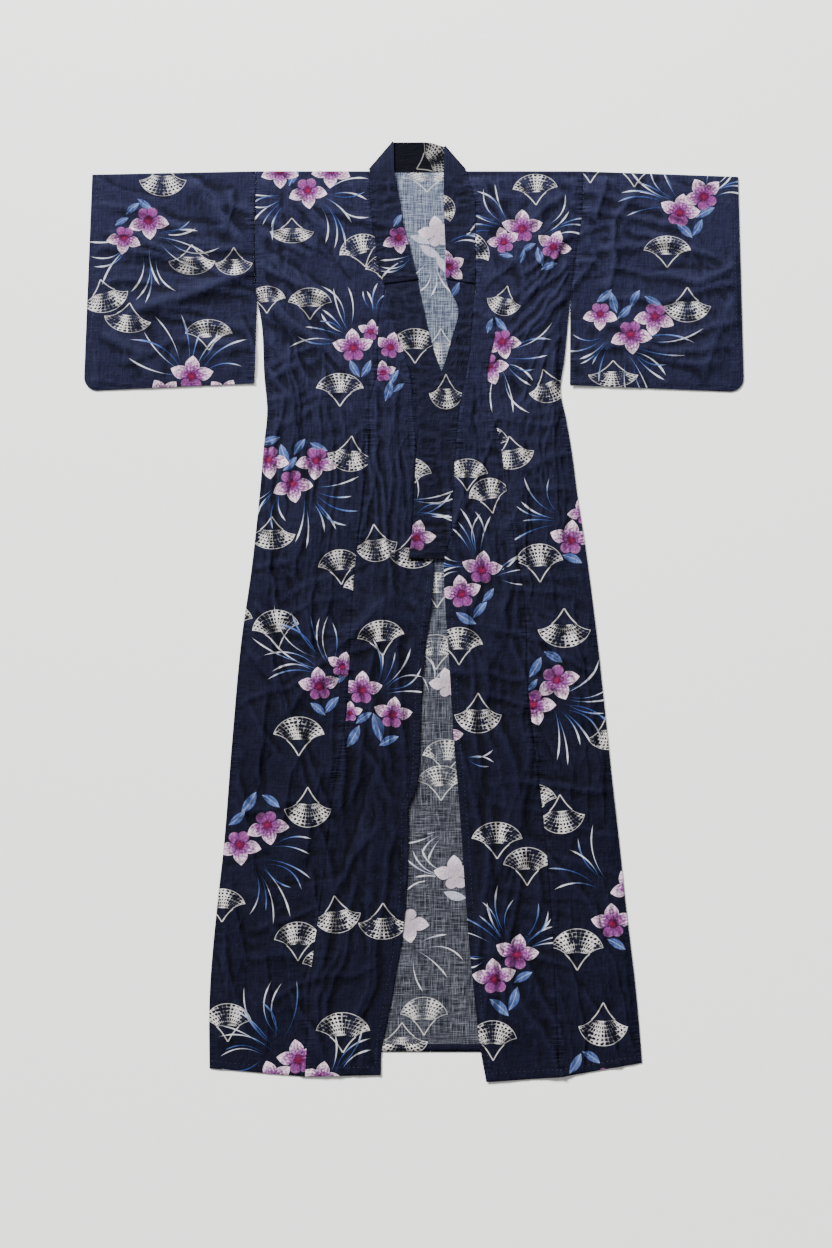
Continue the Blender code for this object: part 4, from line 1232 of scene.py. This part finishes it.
def add_gore(half):
    """The overlap gore beside a front, from its sword point to the hem."""
    seam = OUTWARD[half] * GAP / 2
    shares = spaced(WIDTHS["gore"], ACROSS)
    hem_gore, hem_front = HEMS[half][1:]
    start = SWORD_POINT + 0.004
    down_shares = spaced(LENGTHS["gore"], DOWN, 0.006)[:, None]
    outer_down = start + (hem_gore - start) * down_shares
    inner_down = start + (hem_front - start) * down_shares
    outer = along(GORES[half], outer_down) - seam
    collar = rung_at(RUNGS[half], np.minimum(inner_down, COLLAR_END))[0] + seam
    front = along(FRONTS[half], np.maximum(inner_down, COLLAR_END))
    inner = np.where(inner_down < COLLAR_END, collar, front)
    across = outer + (inner - outer) * shares
    down = outer_down + (inner_down - outer_down) * shares
    height = front_relief(half, across, down) + CLOTH + tuck(across - outer)
    height += tuck(across - inner) * np.where(inner_down < COLLAR_END, 1.0, 0.4)
    height += tuck((1 - down_shares) * LENGTHS["gore"])
    layer = np.full(across.shape, FRONT)
    sheet = make_sheet(f"{half}_gore_cloth", "okumi_" + half, across, down, height, layer,
                       right_side_up=half == "left")
    seams = [np.abs(across - across[:, :1]), np.abs(across - across[:, -1:])]
    write_weave(sheet, across, down, seams)
    print_on(sheet, {FRONT: FRONT_PRINT}, (half, "gore"))
    finish_sheet(sheet)
    points = grid_points(sheet)
    below = down[:HEM_LINE, EDGE_LINE] > COLLAR_END + 0.01
    add_stitches(f"{half}_gore_stitches", [points[HEM_LINE],
                                           points[:HEM_LINE, EDGE_LINE][below]])


def add_sleeve(half):
    """A sleeve folded at its top, with a round lower wrist corner."""
    wrist_top, wrist_high, wrist_low_across, wrist_low, arm_low, arm_low_across = SLEEVES[half]
    side = OUTWARD[half]
    seam = side * GAP / 2
    shares = spaced(WIDTHS["sleeve"], ACROSS)
    arm_corner, wrist_corner = arm_low - SLEEVE_CORNER, wrist_low - SLEEVE_CORNER

    def row_at(share):
        """Across and down of a row: shares past 1 go round the corner."""
        if share <= 1:
            arm_down = arm_corner * share
            wrist_down = wrist_top + (wrist_corner - wrist_top) * share
            inset = 0.0
        else:
            angle = (share - 1) * math.pi / 2
            arm_down = arm_corner + SLEEVE_CORNER * math.sin(angle)
            wrist_down = wrist_corner + SLEEVE_CORNER * math.sin(angle)
            inset = SLEEVE_CORNER * (1 - math.cos(angle))
        arm = along(SIDES[half], min(arm_down, ARMHOLE))
        below = min(max((arm_down - ARMHOLE) / (arm_low - ARMHOLE), 0), 1)
        arm += (arm_low_across - along(SIDES[half], ARMHOLE)) * below
        wrist = wrist_high + (wrist_low_across - wrist_high) * wrist_down / wrist_low
        across = arm + seam + (wrist - side * inset - arm - seam) * shares
        return across, arm_down + (wrist_down - arm_down) * shares

    corner = [1 + step / 8 for step in range(1, 9)]
    rows = []
    for share in np.concatenate([corner[::-1], np.linspace(1, 0, int(LENGTHS["sleeve"] / COARSE))]):
        across, downs = row_at(share)
        wave = np.clip(0.0006 * bumps(across / 0.05, downs / 0.08, 11), 0, CLOTH - THREAD)
        rows.append((across, downs, THREAD + wave))
    back_count = len(rows)
    rows += fold_rows(*rows[-1][:2])
    front = len(rows)
    for share in np.concatenate([spaced(LENGTHS["sleeve"], DOWN)[:-3], corner]):
        across, downs = row_at(share)
        rows.append((across, downs, np.zeros_like(across)))
    across, down, height = stack(rows)
    shown = across[front:], down[front:]
    from_wrist, from_arm = np.abs(shown[0] - shown[0][:, -1:]), np.abs(shown[0] - shown[0][:, :1])
    from_low = np.maximum(wrist_low - shown[1], 0)
    fade = smooth(np.minimum(np.minimum(from_wrist, from_low), shown[1] + 0.004) / EDGE_FADE)
    relief = large_creases(*shown) + fine_creases(*shown) + SLEEVE_CRINKLE * crumple(*shown)
    relief += puckers(from_arm, shown[1], 4) + puckers(from_low, shown[0] + 1, 5)
    relief = soft_limit(relief)
    height[front:] = 2 * CLOTH + GAP + fade_in(fade) * relief
    height[front:] += tuck(from_arm) * (shown[1] < SLEEVE_SEAM) + tuck(from_low) * 0.6
    layer = np.full(across.shape, FRONT)
    layer[:back_count] = BACK
    sheet = make_sheet(f"{half}_sleeve_cloth", "sleeve_" + half, across, down, height, layer,
                       right_side_up=half == "right")
    seams = [np.abs(across - across[:, :1]), np.abs(down - wrist_low) + (layer == BACK)]
    write_weave(sheet, across, np.where(layer == BACK, -down, down), seams)
    print_on(sheet, {BACK: BACK_PRINT, FRONT: FRONT_PRINT}, (half, "sleeve"))
    finish_sheet(sheet)
    add_stitches(f"{half}_sleeve_stitches", [grid_points(sheet)[front:HEM_LINE * 2, EDGE_LINE]])


COLLAR_DARKENING = 0.30  # share of the painted shade's darkening that the whole collar gets, with as much less of the painted light towards the shoulders


def neck_rise(down):
    """How much higher the folded collar lies where it turns round the neck."""
    return (BAND + GAP) * (1 - smooth((down - NECK_LEVEL) / NECK_DROP))


def collar_lines(end, step):
    """The collar's rungs from end to end: seam place, free place, the half it is on and its turn.

    The turn is the angle round the folds beside the neck: 90 on a front, -90 behind the neck.
    """
    lines = []
    count = int(end / step)
    for half in ("right", "left"):
        downs = np.linspace(end, 0, count)
        across, free_down, free_across = rung_at(RUNGS[half], downs)
        turn = TURNS[half]
        front = [((a, d), (fa, fd), half, 90) for a, d, fa, fd in
                 zip(across, downs, free_across, free_down)]
        seam_point, free_point = (turn.seam_across, turn.seam_down), (turn.free_across,
                                                                      turn.free_down)
        folded = [(seam_point, free_point, half, angle) for angle in TURN_ANGLES]
        lines.append(front + folded)
    neck = []
    edges = (Edge(RIGHT_TURN.free_down, RIGHT_TURN.free_across), *NECK_EDGE,
             Edge(LEFT_TURN.free_down, LEFT_TURN.free_across))
    for share in np.linspace(0, 1, NECK_RUNGS + 2)[1:-1]:
        seam_across, free_across = (
            start + (stop - start) * share for start, stop in
            ((RIGHT_TURN.seam_across, LEFT_TURN.seam_across),
             (RIGHT_TURN.free_across, LEFT_TURN.free_across)))
        free_down = float(curve([e.across for e in edges], [e.down for e in edges], free_across))
        neck.append(((seam_across, -GAP), (free_across, free_down), "neck", -90))
    return lines[0] + neck + lines[1][::-1]


def add_band(name, node, end, low, high, cover):
    """A folded band: its own two layers, or one layer that wraps the band's free edge.

    low and high are the under and upper face's height over the collar's base.
    """
    shares = spaced(WIDTHS["band"], ACROSS, 0.003)
    middle = CLOTH + GAP + BAND + GAP / 2
    rows, owners = [], []
    for seam_point, free_point, half, angle in collar_lines(end, BAND_STEP):
        seam_a, seam_d = seam_point
        free_a, free_d = free_point
        inward = OUTWARD.get(half, 0) * -GAP / 2 if angle == 90 else 0.0
        top_a = seam_a + inward + (free_a - seam_a - inward) * shares
        top_d = seam_d + (free_d - seam_d) * shares
        length = math.hypot(free_a - seam_a, free_d - seam_d)
        beyond_a, beyond_d = (free_a - seam_a) / length, (free_d - seam_d) / length
        if angle == 90:
            upper, under = np.full_like(top_a, high), np.full_like(top_a, low)
            shift = ((0.0, 0.0), (0.0, 0.0))
        else:
            turn = TURNS.get(half)
            radians = math.radians(angle)
            outer_radius = high + GAP / 2 - LEAST_LIFT
            inner_radius = low + GAP / 2
            run_a, run_d = (0.0, 0.0) if turn is None else (
                turn.free_across - turn.seam_across, turn.free_down - turn.seam_down)
            run = math.hypot(run_a, run_d) or 1.0
            away_a = OUTWARD.get(half, 0) * abs(run_d) / run * math.cos(radians)
            away_d = -abs(run_a) / run * math.cos(radians)
            upper = np.full_like(top_a, middle + outer_radius * math.sin(radians))
            under = np.full_like(top_a, middle + inner_radius * math.sin(radians))
            shift = tuple((away_a * r, away_d * r) for r in (outer_radius, inner_radius))
        round_edge = np.radians([-45, 0, 45])
        rim = [(free_a + shift[0][0] + beyond_a * RIM * math.cos(a),
                free_d + shift[0][1] + beyond_d * RIM * math.cos(a),
                (upper[-1] + under[-1]) / 2 - (upper[-1] - under[-1]) / 2 * math.sin(a))
               for a in round_edge]
        rim_a, rim_d, rim_h = (np.array(part) for part in zip(*rim))
        under_part = slice(None, None, -1)
        if cover:
            keep = int(len(shares) * COVER_UNDER)
            under_part = slice(-1, -keep, -1)
        across = np.concatenate([top_a + shift[0][0], rim_a, (top_a + shift[1][0])[under_part]])
        downs = np.concatenate([top_d + shift[0][1], rim_d, (top_d + shift[1][1])[under_part]])
        heights = np.concatenate([upper, rim_h, under[under_part]])
        rows.append((across, downs, heights))
        owners.append(half if angle == 90 or half == "neck" else "turn")
    across, down, height = stack(rows)
    if cover:
        share = np.linspace(0, 1, len(shares))
        share = np.concatenate([share, np.ones(across.shape[1] - len(shares))])
        down -= COVER_SLANT * share * smooth((down - end + SLANT_RUN) / SLANT_RUN)
    for half in RUNGS:
        on_front = np.array(owners) == half
        base = band_relief(half, across[on_front], down[on_front]) + neck_rise(down[on_front])
        height[on_front] += base
    layer = np.full(across.shape, FRONT)
    layer[np.array(owners) == "neck"] = BACK
    sheet = make_sheet(name, node, across, down, height, layer)
    width = np.concatenate([[0], np.cumsum(np.hypot(np.diff(across[0]), np.diff(down[0])))])
    run = np.concatenate([[0], np.cumsum(np.hypot(
        np.diff(across[:, 0]), np.diff(down[:, 0])) + 0.0005)])
    width, run = np.tile(width, (len(rows), 1)), np.tile(run[:, None], (1, len(width)))
    behind = np.isin(owners, ("turn", "neck"))[:, None] & np.ones(across.shape, bool)
    # Painted shade: behind the neck the collar is painted dark as if in shade, and the whole collar
    # a little darker.
    shade_values = np.maximum(behind * smooth((0.003 - down) / 0.004), COLLAR_DARKENING)
    write_weave(sheet, width, run, [width], shade_values)
    print_on(sheet, {FRONT: COLLAR_PRINT, BACK: NECK_PRINT})
    return sheet


def band_relief(half, across, down):
    """Height of the collar's underside on a front, with its own softer creases."""
    height = np.full_like(across, CLOTH + GAP)
    if half == "left":
        height += lift_over_right_front(across, down)
    relief = 0.9 * large_creases(across, down) + 0.9 * fine_creases(across, down)
    relief += 0.0016 * crests(across / 0.03, down / 0.014, 21)
    relief += 0.0008 * crests(across / 0.02, down / 0.007, 22)
    relief = soft_limit(np.maximum(relief, LOWEST_BAND)) * laid_bare(half, across, down)
    return height + smooth(down / EDGE_FADE) * relief


def grid_points(sheet):
    """A sheet's places in the scene, row by row."""
    shape = sheet.height.shape
    across, down = sheet.across.reshape(shape), sheet.down.reshape(shape)
    return np.stack([across, SHOULDER_Y - down, sheet.height], -1)


def add_stitches(name, paths):
    """Small running stitches along lines of points, half sunk in the cloth."""
    random = np.random.default_rng(len(paths[0]))
    mesh = bmesh.new()
    for path in paths:
        lengths = np.linalg.norm(np.diff(path, axis=0), axis=1)
        places = np.concatenate([[0], np.cumsum(lengths)])
        for place in np.arange(STITCH_STEP / 2, places[-1] - STITCH_STEP / 4, STITCH_STEP):
            place += random.uniform(-STITCH_SHIFT, STITCH_SHIFT)
            ends = [mathutils.Vector([np.interp(place + step, places, path[:, axis])
                                      for axis in range(3)]) for step in (-STITCH_AIM, STITCH_AIM)]
            turn = (ends[1] - ends[0]).to_track_quat("X", "Z")
            matrix = mathutils.Matrix.LocRotScale((ends[0] + ends[1]) / 2, turn, STITCH_SIZE)
            bmesh.ops.create_icosphere(mesh, subdivisions=1, radius=0.5, matrix=matrix)
    stitches = finished(name, mesh)
    stitches.data.materials.append(MATERIALS["thread"])
    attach(stitches, "root")


def sewing_thread():
    """Matt navy cotton thread, a little paler than the cloth and unevenly dyed."""
    material, tree, shader = new_material("sewing thread")
    place = tree.nodes.new("ShaderNodeTexCoord").outputs["Object"]
    twist = noise(tree, place, detail=1.0, scale=900.0)
    colour = mix(twist.step(0.3, 0.7), (0.012, 0.014, 0.030), (0.045, 0.052, 0.090))
    tree.links.new(colour.socket, shader.inputs["Base Color"])
    shader.inputs["Roughness"].default_value = 0.7
    return material


def add_floor():
    mesh = bmesh.new()
    bmesh.ops.create_grid(mesh, x_segments=1, y_segments=1, size=15)
    floor = finished("stage_floor", mesh)
    material, _, shader = new_material("pale floor")
    shader.inputs["Base Color"].default_value = (0.86, 0.86, 0.845, 1)
    shader.inputs["Roughness"].default_value = 0.9
    floor.data.materials.append(material)


def add_lights():
    """Daylight from the head end's left, as from a tall window, a softer lamp and a white sky."""
    sun = bpy.data.lights.new("daylight", "SUN")
    sun.energy, sun.angle = 11.0, math.radians(16)
    linked("daylight", sun).rotation_euler = (math.radians(-46), math.radians(-44), 0)
    lamp = bpy.data.lights.new("over the head end", "AREA")
    lamp.shape, lamp.size, lamp.energy = "DISK", 1.8, 90
    place, aim = mathutils.Vector((-0.5, 2.6, 1.9)), mathutils.Vector((0, 0.5, 0))
    light = linked("over the head end", lamp)
    light.location = place
    light.rotation_euler = (aim - place).to_track_quat("-Z", "Y").to_euler()
    world = bpy.data.worlds.new("studio")
    bpy.context.scene.world = world
    world.use_nodes = True
    background = world.node_tree.nodes["Background"]
    background.inputs["Color"].default_value = (1, 1, 1, 1)
    background.inputs["Strength"].default_value = 0.42


def add_camera():
    """Straight above the middle of the photo."""
    data = bpy.data.cameras.new("camera")
    distance = 5.0
    data.sensor_fit, data.sensor_width = "AUTO", 36.0
    data.lens = data.sensor_width * distance / (PHOTO_Y * PIXEL)
    camera = linked("camera", data)
    camera.location = ((PHOTO_X / 2 - MIDDLE_X) * PIXEL,
                       SHOULDER_Y - (PHOTO_Y / 2 - SHOULDER_ROW) * PIXEL, distance)
    bpy.context.scene.camera = camera


add_camera()
add_floor()
add_lights()
GROUPS.update(fan=fan_group(), flower=flower_group(), leaf=leaf_group(), blade=blade_group())
MATERIALS = {
    "thread": sewing_thread(),
    "right side": printed_cotton("navy printed cotton"),
    "wrong side": printed_cotton("wrong side of the cotton", wrong_side=True),
}
for half in ("right", "left"):
    add_body(half)
    add_gore(half)
    add_sleeve(half)
collar = add_band("collar_cloth", "collar", COLLAR_END, THREAD * 0.5, BAND, False)
finish_sheet(collar, "right side")
cover = add_band("collar_cover_cloth", "collar_cover", COVER_END, BAND + GAP,
                 BAND + GAP + CLOTH, True)
finish_sheet(cover, "right side")
